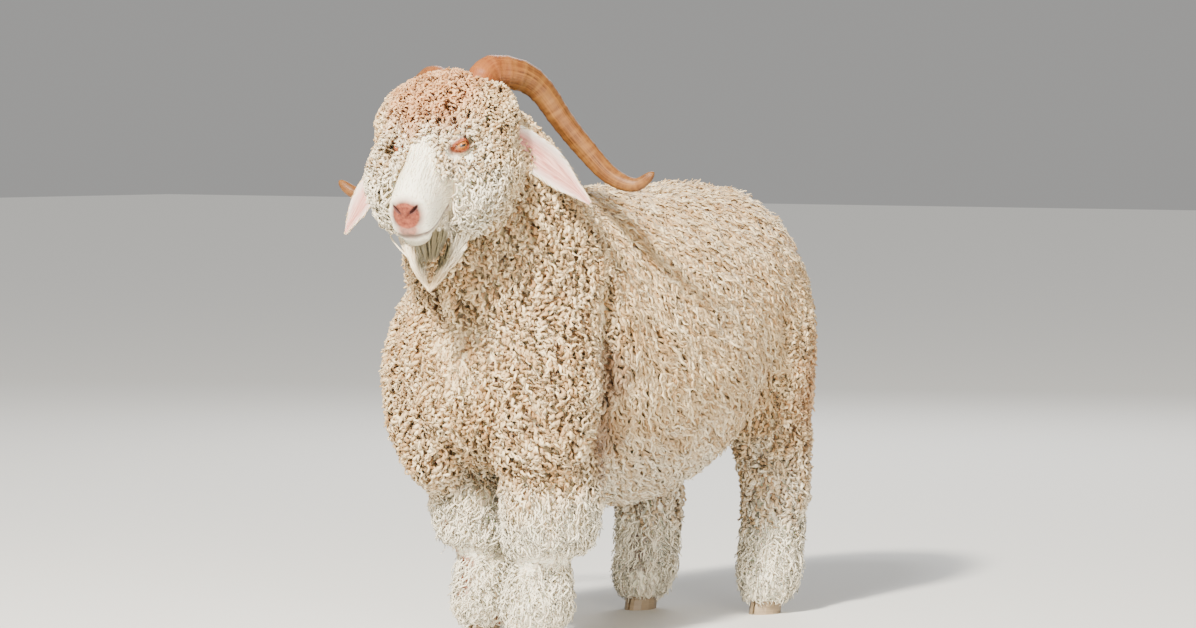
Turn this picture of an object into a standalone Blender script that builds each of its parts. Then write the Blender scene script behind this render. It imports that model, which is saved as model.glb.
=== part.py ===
"""An Angora goat buck in full fleece, life size, standing with its head turned a little to its left.

Metres, +Z up. The goat faces -Y, its left side is +X, and it stands on z = 0. A dense inner fleece is
lofted through oval rings along the trunk, the neck, the head and each leg. Rounded clumps stand on it,
set close from a seeded draw, and hang along the lie of the coat. The whole body is fused first and then
parted into its nodes by flat cuts, so that neighbours meet face to face.
"""

import math
import random

import bmesh
import bpy
from mathutils import Matrix, Vector
from mathutils.bvhtree import BVHTree

GAP = 0.0003            # between two nodes that touch
GROWN = 0.0007          # how far a socket stands off the horn, ear or eye in it
FAR = 2.0               # half the size of a cutter that has to pass the whole body
SIDE_NAMES = {1: "left", -1: "right"}

# Depth of the fleece on each part, from the skin to the tips of its locks.
TRUNK_COAT = 0.056
NECK_COAT = 0.052
LEG_COAT = 0.038
TAIL_COAT = 0.030
CHEEK_COAT = 0.058
STAND = 0.52            # the share of that depth by which clumps stand out of the dense inner fleece

# Clumps of fleece on each part: distance apart, length, width, and height over the inner fleece.
CLUMPS = {
    "trunk": (0.104, 0.146, 0.136, TRUNK_COAT * STAND),
    "neck": (0.084, 0.114, 0.106, NECK_COAT * STAND),
    "leg": (0.085, 0.108, 0.098, LEG_COAT * STAND),
    "head": (0.0395, 0.054, 0.052, CHEEK_COAT * STAND),
    "tail": (0.050, 0.064, 0.056, TAIL_COAT * STAND),
}
# A clump from its sunk root to its tip: share of its length along the lie, share of its height at the
# middle of the ring, and shares of its height and half width that the ring takes.
CLUMP_ROOT = (-0.22, -0.45)
CLUMP_RINGS = (
    (0.16, 0.04, 0.98, 1.00),
    (0.70, 0.12, 0.92, 0.96),
)
CLUMP_TIP = (1.02, 0.16)
CLUMP_SIDES = 5
MOST_BEND = 0.5         # a clump goes straight on where the inner fleece turns away more than this cosine
MOST_DROP = 0.2         # or falls away by more than this share of the clump's length
CLUMP_SPREAD = 0.16     # how much clumps differ in length, width and height
CLUMP_TURN = 0.40       # how far their heading strays, in radians
TRIES = 9000            # points tried on the inner fleece before it is taken as covered
EASE_ROUNDS = 24        # rounds in which crowded roots move apart
EASE_REACH = 1.35       # roots closer than this many distances apart push each other
SEED = 29

# Trunk outline at the tips of the fleece: distance back, height of back, height of belly, half width.
TRUNK = (
    (-0.470, 0.575, 0.450, 0.074),
    (-0.445, 0.650, 0.370, 0.130),
    (-0.388, 0.730, 0.320, 0.172),
    (-0.290, 0.790, 0.285, 0.190),
    (-0.150, 0.800, 0.240, 0.204),
    (0.000, 0.802, 0.216, 0.220),
    (0.140, 0.806, 0.246, 0.218),
    (0.260, 0.802, 0.325, 0.203),
    (0.350, 0.785, 0.390, 0.175),
    (0.415, 0.740, 0.440, 0.130),
    (0.445, 0.680, 0.500, 0.070),
)
TRUNK_SIDES = 12
# The mass of shoulder and upper arm on each side: centre and half sizes at the tips of the fleece.
SHOULDER = ((0.110, -0.345, 0.455), (0.112, 0.112, 0.200))

# Neck outline at the tips of the fleece, from the shoulders to the poll: centre, half width, half depth.
NECK = (
    ((0.000, -0.240, 0.530), 0.190, 0.215),
    ((0.004, -0.300, 0.620), 0.188, 0.200),
    ((0.012, -0.350, 0.710), 0.170, 0.178),
    ((0.020, -0.400, 0.790), 0.148, 0.155),
    ((0.030, -0.440, 0.860), 0.124, 0.130),
    ((0.036, -0.462, 0.905), 0.095, 0.095),
)
NECK_SIDES = 10

CHEST_END = -0.250      # behind this the coat starts to sweep back

# Seams between the trunk, the neck and the head: a point on the cut and the way it faces.
NECK_SEAM = ((0.0, -0.345, 0.640), (0.0, -0.60, 0.80))
HEAD_SEAM = ((0.040, -0.452, 0.865), (0.20, -0.86, 0.47))
TAIL_SEAM = ((0.0, 0.444, 0.690), (0.0, 0.86, 0.51))

# Head, in its own frame: +X its left, -Y towards the nose, +Z up from the brow, origin at the poll.
HEAD_PLACE = (0.040, -0.500, 0.940)
HEAD_TURN = math.radians(20)
HEAD_PITCH = math.radians(26)
CROWN_TURN = math.radians(16)   # the horns and ears are set a little less to the left than the face
# Distance from the poll towards the nose, height of brow, height of jaw, half width, all at the skin.
HEAD = (
    (-0.045, -0.035, -0.095, 0.036),
    (-0.030, -0.018, -0.118, 0.054),
    (0.000, 0.000, -0.135, 0.064),
    (0.045, 0.014, -0.142, 0.069),
    (0.090, 0.018, -0.142, 0.068),
    (0.130, 0.010, -0.136, 0.058),
    (0.170, -0.003, -0.130, 0.046),
    (0.210, -0.012, -0.128, 0.040),
    (0.245, -0.021, -0.126, 0.038),
    (0.266, -0.032, -0.119, 0.033),
    (0.279, -0.052, -0.102, 0.020),
)
HEAD_SIDES = 16
HEAD_SQUARE = 0.80      # below 1 the rings of the head are squarer than an ellipse
BRIDGE, JOWL = 0.24, 0.14   # how much narrower they are along the bridge of the nose and under the jaw
EYE_AT = (0.0490, -0.1180, -0.0150)
EYE_RADIUS = 0.0150
LID = 0.0028            # thickness of the lids over the eyeball
EYE_OPENING = (0.0120, 0.0072)   # half length and half height between the lids
EYE_LOOK = (0.84, -0.48, 0.24)    # the way the left eye faces
EYE_ACROSS = (0.0, -1.0, -0.25)   # from the back corner of the lids to the front one
LID_SIDES = 12
MOUTH_BACK, MOUTH_FRONT = 0.185, 0.270    # where its corners and its front are, from the poll
MOUTH_ROUND = 0.009     # how far the front of the lips bulges past that
MOUTH_HEIGHT, MOUTH_RISE = -0.1040, 0.0060
MOUTH_STEPS, MOUTH_SIDES = 3, 5
MOUTH_GROOVE = 0.0020
LIP = 0.0055
LIP_APART = 0.9         # distance of each lip from the line of the mouth, as a share of its radius
NOSE_AT = (0.2640, -0.0560)
NOSE_PAD = (0.0265, 0.0175, 0.0250)
NOSTRIL_AT = (0.0150, -0.2790, -0.0520)
NOSTRIL = (0.0044, 0.0110, 0.0085)
NOSTRIL_FLARE, NOSTRIL_LEAN = math.radians(28), math.radians(24)
# Ridge of bone over each eye and the cheekbone under it: offset from the eye and half sizes.
BROW = ((-0.010, 0.006, 0.008), (0.022, 0.026, 0.017))
CHEEKBONE = ((-0.010, -0.006, -0.026), (0.017, 0.034, 0.016))
CHIN = ((0.0, -0.2440, -0.1200), (0.024, 0.026, 0.015))
BEARD_POINT = (0.0, -0.225, -0.212)   # where the beard comes to its point, in the head's frame
BEARD_BACK, BEARD_FRONT, BEARD_HALF = 0.140, 0.246, 0.044
BEARD_ROOT = 0.014      # how far its locks are sunk in the jaw
BEARD_SHORTER = 0.22    # how much shorter the last locks are than the one under the chin
BEARD_BULGE = 0.006     # how far the locks bow outwards
BEARD_ROWS = ((9, 1.0), (5, 0.62))    # locks in a row, and how far out that row stands
BEARD_BENDS = (0.0, 0.35, 0.70, 1.0)  # where along a lock its rings are
BEARD_LOCK = ((0.0090, 0.0045), (0.0110, 0.0050), (0.0080, 0.0036), (0.0012, 0.0010))

# Wool of the head: centre and half sizes of its dense inner part, in the head's frame.
CURL_CORES = (
    ((0.000, -0.026, -0.018), (0.102, 0.094, 0.060)),
    ((0.050, -0.082, -0.092), (0.060, 0.098, 0.076)),
    ((-0.050, -0.082, -0.092), (0.060, 0.098, 0.076)),
    ((0.000, -0.050, -0.130), (0.078, 0.084, 0.053)),
)
EYE_BARE = 0.031        # no clump grows nearer to an eye than this
FORELOCK_END = 0.114    # how far down the face the forelock and the cheek wool reach
CHEEK_END = 0.172
BROW_HEIGHT = -0.030    # over this height a clump belongs to the forelock
CLUMP_FLOOR = 0.078     # no clump is rooted lower than this

# Horn centre line in the level frame of the crown, from the poll: left, back, up; and the radius there.
HORN = (
    ((0.036, -0.005, -0.030), 0.029),
    ((0.041, 0.020, 0.020), 0.032),
    ((0.050, 0.050, 0.056), 0.031),
    ((0.086, 0.090, 0.054), 0.027),
    ((0.113, 0.120, 0.029), 0.023),
    ((0.144, 0.145, -0.024), 0.020),
    ((0.178, 0.165, -0.072), 0.0185),
    ((0.219, 0.178, -0.118), 0.0160),
    ((0.264, 0.182, -0.135), 0.0120),
    ((0.300, 0.181, -0.113), 0.0050),
)
HORN_SIDES = 10
HORN_STEPS = 2
HORN_FLAT = 0.82        # its thickness as a share of its depth
HORN_DROP = {1: 0.0, -1: 0.018}     # how much lower a horn is set than the rows say

# Ear, in the level frame of the crown: root, direction, length, widest half width and thickness.
EAR_LENGTH = 0.185
EAR_HALF_WIDTH = 0.031
EAR_THICK = 0.0034
EAR_CUP = 0.55          # how far the edges roll in, as a share of the half width
EAR_ROWS, EAR_COLUMNS = 9, 6
EAR_ROOT = {1: (0.072, 0.016, -0.040), -1: (-0.072, 0.010, -0.045)}
EAR_HEADING = {1: (0.72, 0.45, -0.42), -1: (-0.62, -0.02, -0.60)}
EAR_DROOP = {1: 0.045, -1: 0.045}
EAR_OPENS = {1: (0.45, -1.0, 0.10), -1: (-0.35, -1.0, 0.25)}

# Legs: half sizes at the tips of the fleece down the leg. Each row is how far outwards and back of the
# foot it lies, the height, the half width and the half length.
FORE_LEG = (
    (0.018, 0.010, 0.420, 0.076, 0.094),
    (0.022, 0.010, 0.330, 0.090, 0.102),
    (0.024, 0.008, 0.250, 0.092, 0.102),
    (0.020, 0.006, 0.190, 0.086, 0.094),
    (0.010, 0.004, 0.155, 0.070, 0.076),
    (0.004, 0.002, 0.125, 0.060, 0.066),
    (0.000, 0.000, 0.085, 0.066, 0.072),
    (0.000, -0.004, 0.052, 0.060, 0.066),
    (0.000, -0.008, 0.022, 0.036, 0.044),
)
FORE_SPLIT = 0.152      # height of the seam under the sleeve of wool
HIND_LEG = (
    (0.000, -0.025, 0.640, 0.062, 0.102),
    (0.000, -0.030, 0.560, 0.090, 0.132),
    (0.000, -0.030, 0.470, 0.092, 0.130),
    (0.000, -0.018, 0.390, 0.084, 0.112),
    (0.000, 0.004, 0.320, 0.075, 0.090),
    (0.000, 0.018, 0.260, 0.068, 0.076),
    (0.000, 0.014, 0.190, 0.065, 0.070),
    (0.000, 0.006, 0.120, 0.064, 0.070),
    (0.000, 0.000, 0.070, 0.062, 0.068),
    (0.000, -0.004, 0.046, 0.052, 0.060),
    (0.000, -0.008, 0.022, 0.036, 0.044),
)
HIND_SPLIT = 0.245      # height of the seam at the hock
LEG_SIDES = 8
FULL_COAT_HEIGHT = 0.12     # under this the coat of a leg thins towards the hoof
FEET = {                # where each foot stands: left of the middle, back from the origin
    "fore_left": (0.079, -0.315),
    "fore_right": (-0.079, -0.262),
    "hind_left": (0.112, 0.330),
    "hind_right": (-0.112, 0.242),
}
# Where the legs are parted from the trunk: front, back and top of the fore legs, then the front of the
# hind legs, and the seam over them: its height at the middle of the body and its rise outwards.
FORE_FRONT, FORE_BACK, FORE_TOP = -0.450, -0.140, 0.290
HIND_FRONT = 0.165
HIND_TOP, HIND_RISE = 0.365, 0.80

HOOF_TOP = 0.046
HOOF_LENGTH, HOOF_WIDTH = 0.074, 0.052
HOOF_AHEAD = 0.010      # how far the middle of a hoof is in front of its leg
HOOF_SIDES = 14
HOOF_POINT = 0.18       # how much narrower it is at the front
HOOF_CLEFT = 0.005
CLEFT_LENGTH, CLEFT_HEIGHT = 0.62, 0.80   # shares of the hoof's length and height
# Rings of a hoof: height, size as a share of the full one, and how far back the ring lies.
HOOF = ((0.0, 1.0, -0.004), (0.012, 1.0, -0.002), (0.032, 0.90, 0.002), (HOOF_TOP, 0.78, 0.006))

TAIL = (
    ((0.0, 0.390, 0.690), 0.044),
    ((0.0, 0.435, 0.692), 0.045),
    ((0.0, 0.475, 0.680), 0.042),
    ((0.0, 0.508, 0.652), 0.034),
    ((0.0, 0.530, 0.624), 0.015),
)
TAIL_SIDES = 6


def clear_scene():
    for old in list(bpy.data.objects):
        bpy.data.objects.remove(old)


def material(name, colour, roughness, metallic=0.0):
    made = bpy.data.materials.new(name)
    made.use_nodes = True
    shader = made.node_tree.nodes["Principled BSDF"]
    shader.inputs["Base Color"].default_value = (*colour, 1.0)
    shader.inputs["Roughness"].default_value = roughness
    shader.inputs["Metallic"].default_value = metallic
    return made


def add_object(name, mesh_data, finish=None):
    made = bpy.data.objects.new(name, mesh_data)
    bpy.context.scene.collection.objects.link(made)
    if finish:
        mesh_data.materials.append(finish)
    return made


def smooth_rows(rows, steps):
    """Rows of numbers, `steps` of them for each one given, on a Catmull-Rom curve through those."""
    ends = [rows[0], *rows, rows[-1]]
    out = []
    for i in range(1, len(ends) - 2):
        for k in range(steps):
            t = k / steps
            between = []
            for p, q, r, s in zip(*ends[i - 1:i + 3]):
                bend = (2 * p - 5 * q + 4 * r - s) * t * t + (3 * q - p - 3 * r + s) * t ** 3
                between.append(0.5 * (2 * q + (r - p) * t + bend))
            out.append(between)
    out.append(list(rows[-1]))
    return out


def ring(centre, side, up, half_side, half_up, count):
    return [
        centre + side * (half_side * math.cos(2 * math.pi * k / count))
        + up * (half_up * math.sin(2 * math.pi * k / count))
        for k in range(count)
    ]


def skin_rings(name, rings, finish=None):
    """One closed mesh through rings of equal count. A first or last ring of one point is a tip."""
    shape = bmesh.new()
    loops = [[shape.verts.new(p) for p in points] for points in rings]
    for low, high in zip(loops, loops[1:]):
        count = max(len(low), len(high))
        for k in range(count):
            n = (k + 1) % count
            corners = [low[k % len(low)], low[n % len(low)], high[n % len(high)], high[k % len(high)]]
            shape.faces.new(list(dict.fromkeys(corners)))
    for cap in (list(reversed(loops[0])), loops[-1]):
        if len(cap) > 1:
            shape.faces.new(cap)
    bmesh.ops.triangulate(shape, faces=shape.faces)
    bmesh.ops.recalc_face_normals(shape, faces=shape.faces)
    data = bpy.data.meshes.new(name)
    shape.to_mesh(data)
    shape.free()
    return add_object(name, data, finish)


def path_rings(points, halves, count, side=Vector((1, 0, 0))):
    """Rings square to a path, carried along it without a twist. `halves` gives (half side, half up)."""
    out = []
    for i, point in enumerate(points):
        along = (points[min(i + 1, len(points) - 1)] - points[max(i - 1, 0)]).normalized()
        side = (side - along * side.dot(along)).normalized()
        out.append(ring(point, side, along.cross(side), *halves[i], count))
    return out


def trunk(depth):
    """The trunk, `depth` inside the tips of its fleece."""
    rings = []
    for back, top, bottom, half in TRUNK:
        centre = Vector((0, back, (top + bottom) / 2))
        rings.append(ring(centre, Vector((1, 0, 0)), Vector((0, 0, 1)),
                          half - depth, (top - bottom) / 2 - depth, TRUNK_SIDES))
    pull = Vector((0, depth, 0))
    rings[0] = [p + pull for p in rings[0]]
    rings[-1] = [p - pull for p in rings[-1]]
    return skin_rings("trunk", rings)


def shoulders(depth):
    """The mass over each shoulder and upper arm, `depth` inside the tips of its fleece."""
    (left, back, up), sizes = SHOULDER
    halves = [size - depth for size in sizes]
    return [ball("shoulder", (left * side, back, up), halves, Matrix(), 1) for side in (1, -1)]


def neck(depth):
    points = [Vector(centre) for centre, _, _ in NECK]
    halves = [(half - depth, deep - depth) for _, half, deep in NECK]
    return skin_rings("neck_core", path_rings(points, halves, NECK_SIDES))


def tail(depth):
    points = [Vector(centre) for centre, _ in TAIL]
    full = TAIL[0][1]
    halves = [(half - depth * min(1, half / full),) * 2 for _, half in TAIL]
    return skin_rings("tail_core", path_rings(points, halves, TAIL_SIDES))


def leg(name, rows, depth):
    """A leg, `depth` inside the tips of its fleece, less so near the hoof."""
    left, back = FEET[name]
    rings = []
    out = math.copysign(1.0, left)
    for outwards, backwards, height, half_width, half_length in rows:
        inset = depth * min(1.0, max(0.25, height / FULL_COAT_HEIGHT))
        centre = Vector((left + outwards * out, back + backwards, height))
        rings.append(ring(centre, Vector((1, 0, 0)), Vector((0, 1, 0)),
                          half_width - inset, half_length - inset, LEG_SIDES))
    return skin_rings("leg_core_" + name, rings)


def head_matrix():
    """From the head's own frame to the goat's."""
    return (Matrix.Translation(HEAD_PLACE) @ Matrix.Rotation(HEAD_TURN, 4, "Z")
            @ Matrix.Rotation(HEAD_PITCH, 4, "X"))


def crown_matrix():
    """The level frame of the crown, from the poll: left, back and up."""
    return Matrix.Translation(HEAD_PLACE) @ Matrix.Rotation(CROWN_TURN, 4, "Z")


def head_row(along):
    """Brow height, jaw height and half width at a distance from the poll towards the nose."""
    rows = smooth_rows(HEAD, 8)
    for low, high in zip(rows, rows[1:]):
        if low[0] <= along <= high[0]:
            share = (along - low[0]) / (high[0] - low[0])
            return [p + (q - p) * share for p, q in zip(low, high)][1:]
    return rows[-1][1:]


def squared(value):
    return math.copysign(abs(value) ** HEAD_SQUARE, value)


def head_width(rise):
    """Share of the half width that a ring of the head has where it rises by `rise`, from -1 to 1."""
    ellipse = (1 - abs(rise) ** (2 / HEAD_SQUARE)) ** (HEAD_SQUARE / 2)
    return ellipse * (1.0 - BRIDGE * max(0.0, rise) ** 2 - JOWL * max(0.0, -rise) ** 2)


def head_core():
    """The skull and jaws at the skin: rounded rings, narrower along the bridge of the nose."""
    rings = []
    for along, top, bottom, half in smooth_rows(HEAD, 2):
        centre, reach = (top + bottom) / 2, (top - bottom) / 2
        points = []
        for k in range(HEAD_SIDES):
            angle = 2 * math.pi * k / HEAD_SIDES
            rise = squared(math.sin(angle))
            across = math.copysign(head_width(rise), math.cos(angle))
            points.append(Vector((across * half, -along, centre + rise * reach)))
        rings.append(points)
    core = skin_rings("head_core", rings)
    core.data.transform(head_matrix())
    return core


def ball(name, centre, sizes, matrix, level=2):
    shape = bmesh.new()
    bmesh.ops.create_icosphere(shape, subdivisions=level, radius=1.0)
    data = bpy.data.meshes.new(name)
    shape.to_mesh(data)
    shape.free()
    data.transform(matrix @ Matrix.Translation(centre) @ Matrix.Diagonal((*sizes, 1.0)))
    return add_object(name, data)


def apply_modifiers(thing):
    graph = bpy.context.evaluated_depsgraph_get()
    made = bpy.data.meshes.new_from_object(thing.evaluated_get(graph))
    thing.modifiers.clear()
    thing.data = made


def join(thing, pieces, operation="UNION", solver="MANIFOLD"):
    """Joins the pieces to the thing, or cuts them from it, with one Boolean on their collection."""
    group = bpy.data.collections.new("pieces")
    for piece in pieces:
        group.objects.link(piece)
    boolean = thing.modifiers.new("join", "BOOLEAN")
    boolean.operation = operation
    boolean.solver = solver
    boolean.operand_type = "COLLECTION"
    boolean.collection = group
    apply_modifiers(thing)
    for piece in list(pieces):
        bpy.data.objects.remove(piece)
    bpy.data.collections.remove(group)


def cell(planes, inset=GAP / 2):
    """A closed block on the inner side of each plane, given as a point and the way out of the block."""
    shape = bmesh.new()
    bmesh.ops.create_cube(shape, size=2 * FAR)
    for point, outwards in planes:
        outwards = Vector(outwards).normalized()
        everything = shape.verts[:] + shape.edges[:] + shape.faces[:]
        bmesh.ops.bisect_plane(shape, geom=everything, dist=1e-7, plane_co=Vector(point) - outwards * inset,
                               plane_no=outwards, clear_outer=True)
        bmesh.ops.holes_fill(shape, edges=[e for e in shape.edges if e.is_boundary])
    bmesh.ops.triangulate(shape, faces=shape.faces)
    bmesh.ops.recalc_face_normals(shape, faces=shape.faces)
    data = bpy.data.meshes.new("cell")
    shape.to_mesh(data)
    shape.free()
    return add_object("cell", data)


def keep_largest(thing):
    """Drops loose scraps and sealed hollows: only the surface with the largest box stays."""
    shape = bmesh.new()
    shape.from_mesh(thing.data)
    islands, seen = [], set()
    for start in shape.faces:
        if start in seen:
            continue
        seen.add(start)
        stack, island = [start], []
        while stack:
            face = stack.pop()
            island.append(face)
            for edge in face.edges:
                if len(edge.link_faces) > 2:
                    continue
                for other in edge.link_faces:
                    if other not in seen:
                        seen.add(other)
                        stack.append(other)
        islands.append(island)

    def reach(island):
        corners = [vert.co for face in island for vert in face.verts]
        return math.hypot(*(max(c[i] for c in corners) - min(c[i] for c in corners) for i in range(3)))

    islands.sort(key=reach)
    for island in islands[:-1]:
        bmesh.ops.delete(shape, geom=island, context="FACES")
    shape.to_mesh(thing.data)
    shape.free()


def socket(thing):
    """A cutter that stands off a piece all round."""
    made = add_object("socket", thing.data.copy())
    shape = bmesh.new()
    shape.from_mesh(made.data)
    shape.normal_update()
    moves = [(vert, vert.normal.copy()) for vert in shape.verts]
    for vert, normal in moves:
        vert.co += normal * GROWN
    shape.to_mesh(made.data)
    shape.free()
    return made


def eye_centre(side):
    return Vector((EYE_AT[0] * side, EYE_AT[1], EYE_AT[2]))


def follow(tree, root, outwards, lie, length, along):
    """The place on the inner fleece at a share of a clump's length, and the way outwards there."""
    straight = root + lie * (length * along)
    point, normal, _, away = tree.find_nearest(straight)
    if normal.dot(outwards) < MOST_BEND or away > MOST_DROP * length:
        return straight, outwards
    return point, normal


def clump(tree, root, outwards, lie, length, width, stand, lift):
    """One rounded clump of fleece that follows the inner fleece from its sunk root to its free tip."""
    rings = []
    for along, height, *halves in (CLUMP_ROOT, *CLUMP_RINGS, CLUMP_TIP):
        point, normal = follow(tree, root, outwards, lie, length, along)
        centre = point + normal * (stand * (height + lift * max(0.0, along)))
        if not halves:
            rings.append([centre])
            continue
        reach, half = halves
        across = normal.cross(lie).normalized()
        rings.append([])
        for k in range(CLUMP_SIDES):
            angle = 2 * math.pi * (k / CLUMP_SIDES + 0.15)
            rings[-1].append(centre + across * (math.cos(angle) * half * width / 2)
                             + normal * (math.sin(angle) * reach * stand))
    return skin_rings("clump", rings)


def lie_of(part, point, outwards):
    """Which way the coat hangs at a point of a part, along the surface."""
    side = 1.0 if point.x > 0 else -1.0
    if part == "trunk":
        back = min(1.0, max(0.0, (point.y - CHEST_END) / 0.2))
        way = Vector((point.x * 4.0, 0.7 * back, -1.0))
    elif part == "tail":
        way = Vector((0.0, 0.8, -0.6))
    elif part == "head":
        local = head_matrix().inverted() @ point
        way = head_matrix().to_3x3() @ Vector((local.x * 7.0, -1.0, 0.2)) + Vector((0, 0, -0.7))
    else:
        way = Vector((side * 0.12, 0.0, -1.0))
    way = way - outwards * way.dot(outwards)
    if way.length < 0.15:
        way = outwards.orthogonal()
    return way.normalized()


def bare(part, point):
    """Where no clump grows: the face in front of the eyes, round the eyes, and just over the hooves."""
    if part == "leg":
        return point.z < CLUMP_FLOOR
    if part != "head":
        return False
    local = head_matrix().inverted() @ point
    if min((local - eye_centre(side)).length for side in (1, -1)) < EYE_BARE:
        return True
    return -local.y > (FORELOCK_END if local.z > BROW_HEIGHT else CHEEK_END)


def scatter(body, cores):
    """Roots set close all over the body, each with the core it lies on and the distance it keeps."""
    draw = random.Random(SEED)
    graph = bpy.context.evaluated_depsgraph_get()
    trees = [(part, BVHTree.FromObject(core, graph)) for part, core in cores]
    shape = bmesh.new()
    shape.from_mesh(body.data)
    bmesh.ops.triangulate(shape, faces=shape.faces)
    faces = [[vert.co.copy() for vert in face.verts] for face in shape.faces]
    areas = [face.calc_area() for face in shape.faces]
    shape.free()
    found = []
    for p, q, r in draw.choices(faces, weights=areas, k=TRIES):
        a, b = draw.random(), draw.random()
        if a + b > 1:
            a, b = 1 - a, 1 - b
        point = p + (q - p) * a + (r - p) * b
        part = min((tree.find_nearest(point)[3], name) for name, tree in trees)[1]
        gap = CLUMPS[part][0]
        clear = all((point - other).length > min(gap, keep) for other, _, keep in found)
        if clear and not bare(part, point):
            found.append((point, part, gap))
    return found


def ease(tree, roots):
    """Moves crowded roots apart over the body, so that no bare patch is left between clumps."""
    for _ in range(EASE_ROUNDS):
        moved = []
        for point, part, gap in roots:
            push = Vector((0, 0, 0))
            for other, _, keep in roots:
                away = point - other
                reach = EASE_REACH * (gap + keep) / 2
                if 0 < away.length < reach:
                    push += away.normalized() * (reach - away.length) * 0.25
            there = tree.find_nearest(point + push)[0]
            moved.append((point if bare(part, there) else there, part, gap))
        roots = moved
    return roots


def fleece(body, cores):
    """All the clumps, from a seeded draw."""
    draw = random.Random(SEED + 1)
    tree = BVHTree.FromObject(body, bpy.context.evaluated_depsgraph_get())
    made = []
    for root, part, _ in ease(tree, scatter(body, cores)):
        _, length, width, stand = CLUMPS[part]
        outwards = tree.find_nearest(root)[1]
        turn = Matrix.Rotation(draw.uniform(-1, 1) * CLUMP_TURN, 3, outwards)
        size = [1 + draw.uniform(-1, 1) * CLUMP_SPREAD for _ in range(3)]
        if part == "leg":
            length = min(length, (root.z - HOOF_TOP) * 0.9)
        made.append(clump(tree, root, outwards, turn @ lie_of(part, root, outwards), length * size[0],
                          width * size[1], stand * min(1.0, size[2]), draw.uniform(-0.05, 0.2)))
    print(len(made), "clumps")
    return made


def part_off(body, name, planes, finish):
    """A node: what lies inside the planes, taken from a copy of the whole body."""
    node = add_object(name, body.data.copy())
    join(node, [cell(planes)], "INTERSECT")
    keep_largest(node)
    node.data.materials.clear()
    node.data.materials.append(finish)
    return node


def flipped(plane):
    point, outwards = plane
    return point, tuple(-c for c in outwards)


def sided(planes, side):
    """Planes given for the left side, mirrored for the right when side is -1."""
    return [((p[0] * side, p[1], p[2]), (n[0] * side, n[1], n[2])) for p, n in planes]


def fore_planes(side, low, high):
    return sided([((0, 0, 0), (-1, 0, 0)), ((0, FORE_FRONT, 0), (0, -1, 0)), ((0, FORE_BACK, 0), (0, 1, 0)),
                  ((0, 0, high), (0, 0, 1)), ((0, 0, low), (0, 0, -1))], side)


def hind_planes(side, low, high=None):
    planes = [((0, 0, 0), (-1, 0, 0)), ((0, HIND_FRONT, 0), (0, -1, 0)),
              ((0, 0, HIND_TOP), (-HIND_RISE, 0, 1)), ((0, 0, low), (0, 0, -1))]
    if high is not None:
        planes.append(((0, 0, high), (0, 0, 1)))
    return sided(planes, side)


def hoof(name, finish):
    """Two toes with a cleft between them, narrower at the top and pointed in front."""
    left, back = FEET[name]
    middle = back - HOOF_AHEAD
    rings = []
    for height, grow, slide in HOOF:
        rings.append([])
        for k in range(HOOF_SIDES):
            angle = 2 * math.pi * k / HOOF_SIDES
            x, y = math.sin(angle), -math.cos(angle)
            squeeze = 1.0 - HOOF_POINT * max(0.0, -y) ** 3
            rings[-1].append(Vector((left + HOOF_WIDTH / 2 * x * squeeze * grow,
                                     middle + slide + HOOF_LENGTH / 2 * y * grow, height)))
    made = skin_rings("hoof_" + name, rings, finish)
    cleft_end = middle + HOOF_LENGTH * (CLEFT_LENGTH - 0.5)
    cleft = cell([
        ((left - HOOF_CLEFT / 2, 0, 0), (-1, 0, 0)),
        ((left + HOOF_CLEFT / 2, 0, 0), (1, 0, 0)),
        ((0, cleft_end, 0), (0, 1, -0.35)),
        ((0, 0, HOOF_TOP * CLEFT_HEIGHT), (0, 0, 1)),
    ])
    join(made, [cleft], "DIFFERENCE", "EXACT")
    return made


def horn(side, finish):
    """A horn that rises from the poll, sweeps back and out, and turns up at its tip."""
    rows = smooth_rows([(*centre, radius) for centre, radius in HORN], HORN_STEPS)
    matrix = crown_matrix()
    points = [matrix @ Vector((row[0] * side, row[1], row[2] - HORN_DROP[side])) for row in rows]
    halves = [(row[3] * HORN_FLAT, row[3]) for row in rows]
    flat_way = matrix.to_3x3() @ Vector((0.35 * side, 1, 0))
    rings = path_rings(points, halves, HORN_SIDES, side=flat_way)
    return skin_rings("horn_" + SIDE_NAMES[side], rings, finish)


def ear_rows(side):
    """Rows of points along the middle of the ear's thickness, each with the way out of its inner face."""
    heading, open_way = Vector(EAR_HEADING[side]).normalized(), Vector(EAR_OPENS[side])
    across = heading.cross(open_way).normalized()
    open_way = across.cross(heading).normalized()
    rows = []
    for i in range(EAR_ROWS):
        t = i / (EAR_ROWS - 1)
        swell = math.sin(math.pi * min(1.0, 0.12 + 1.02 * t)) ** 0.8
        half = EAR_HALF_WIDTH * (0.36 + 0.64 * swell) * (1 - 0.75 * t ** 6)
        cup = EAR_CUP * (1.15 - 0.85 * t)
        bend = half / max(0.4, 1.3 * cup)
        line = Vector(EAR_ROOT[side]) + heading * (EAR_LENGTH * t)
        line.z -= EAR_DROOP[side] * t * t
        thick = EAR_THICK / 2 * (2.2 - 1.5 * t)
        rows.append([])
        for j in range(EAR_COLUMNS + 1):
            s = 2 * j / EAR_COLUMNS - 1
            roll = s * math.pi / 2 * cup
            middle = line + across * (bend * math.sin(roll))
            middle += open_way * (1.4 * bend * (1 - math.cos(roll)))
            out = open_way * math.cos(roll) - across * math.sin(roll)
            rows[-1].append((middle, out * (thick * (1 - 0.45 * s ** 4))))
    return rows


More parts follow.
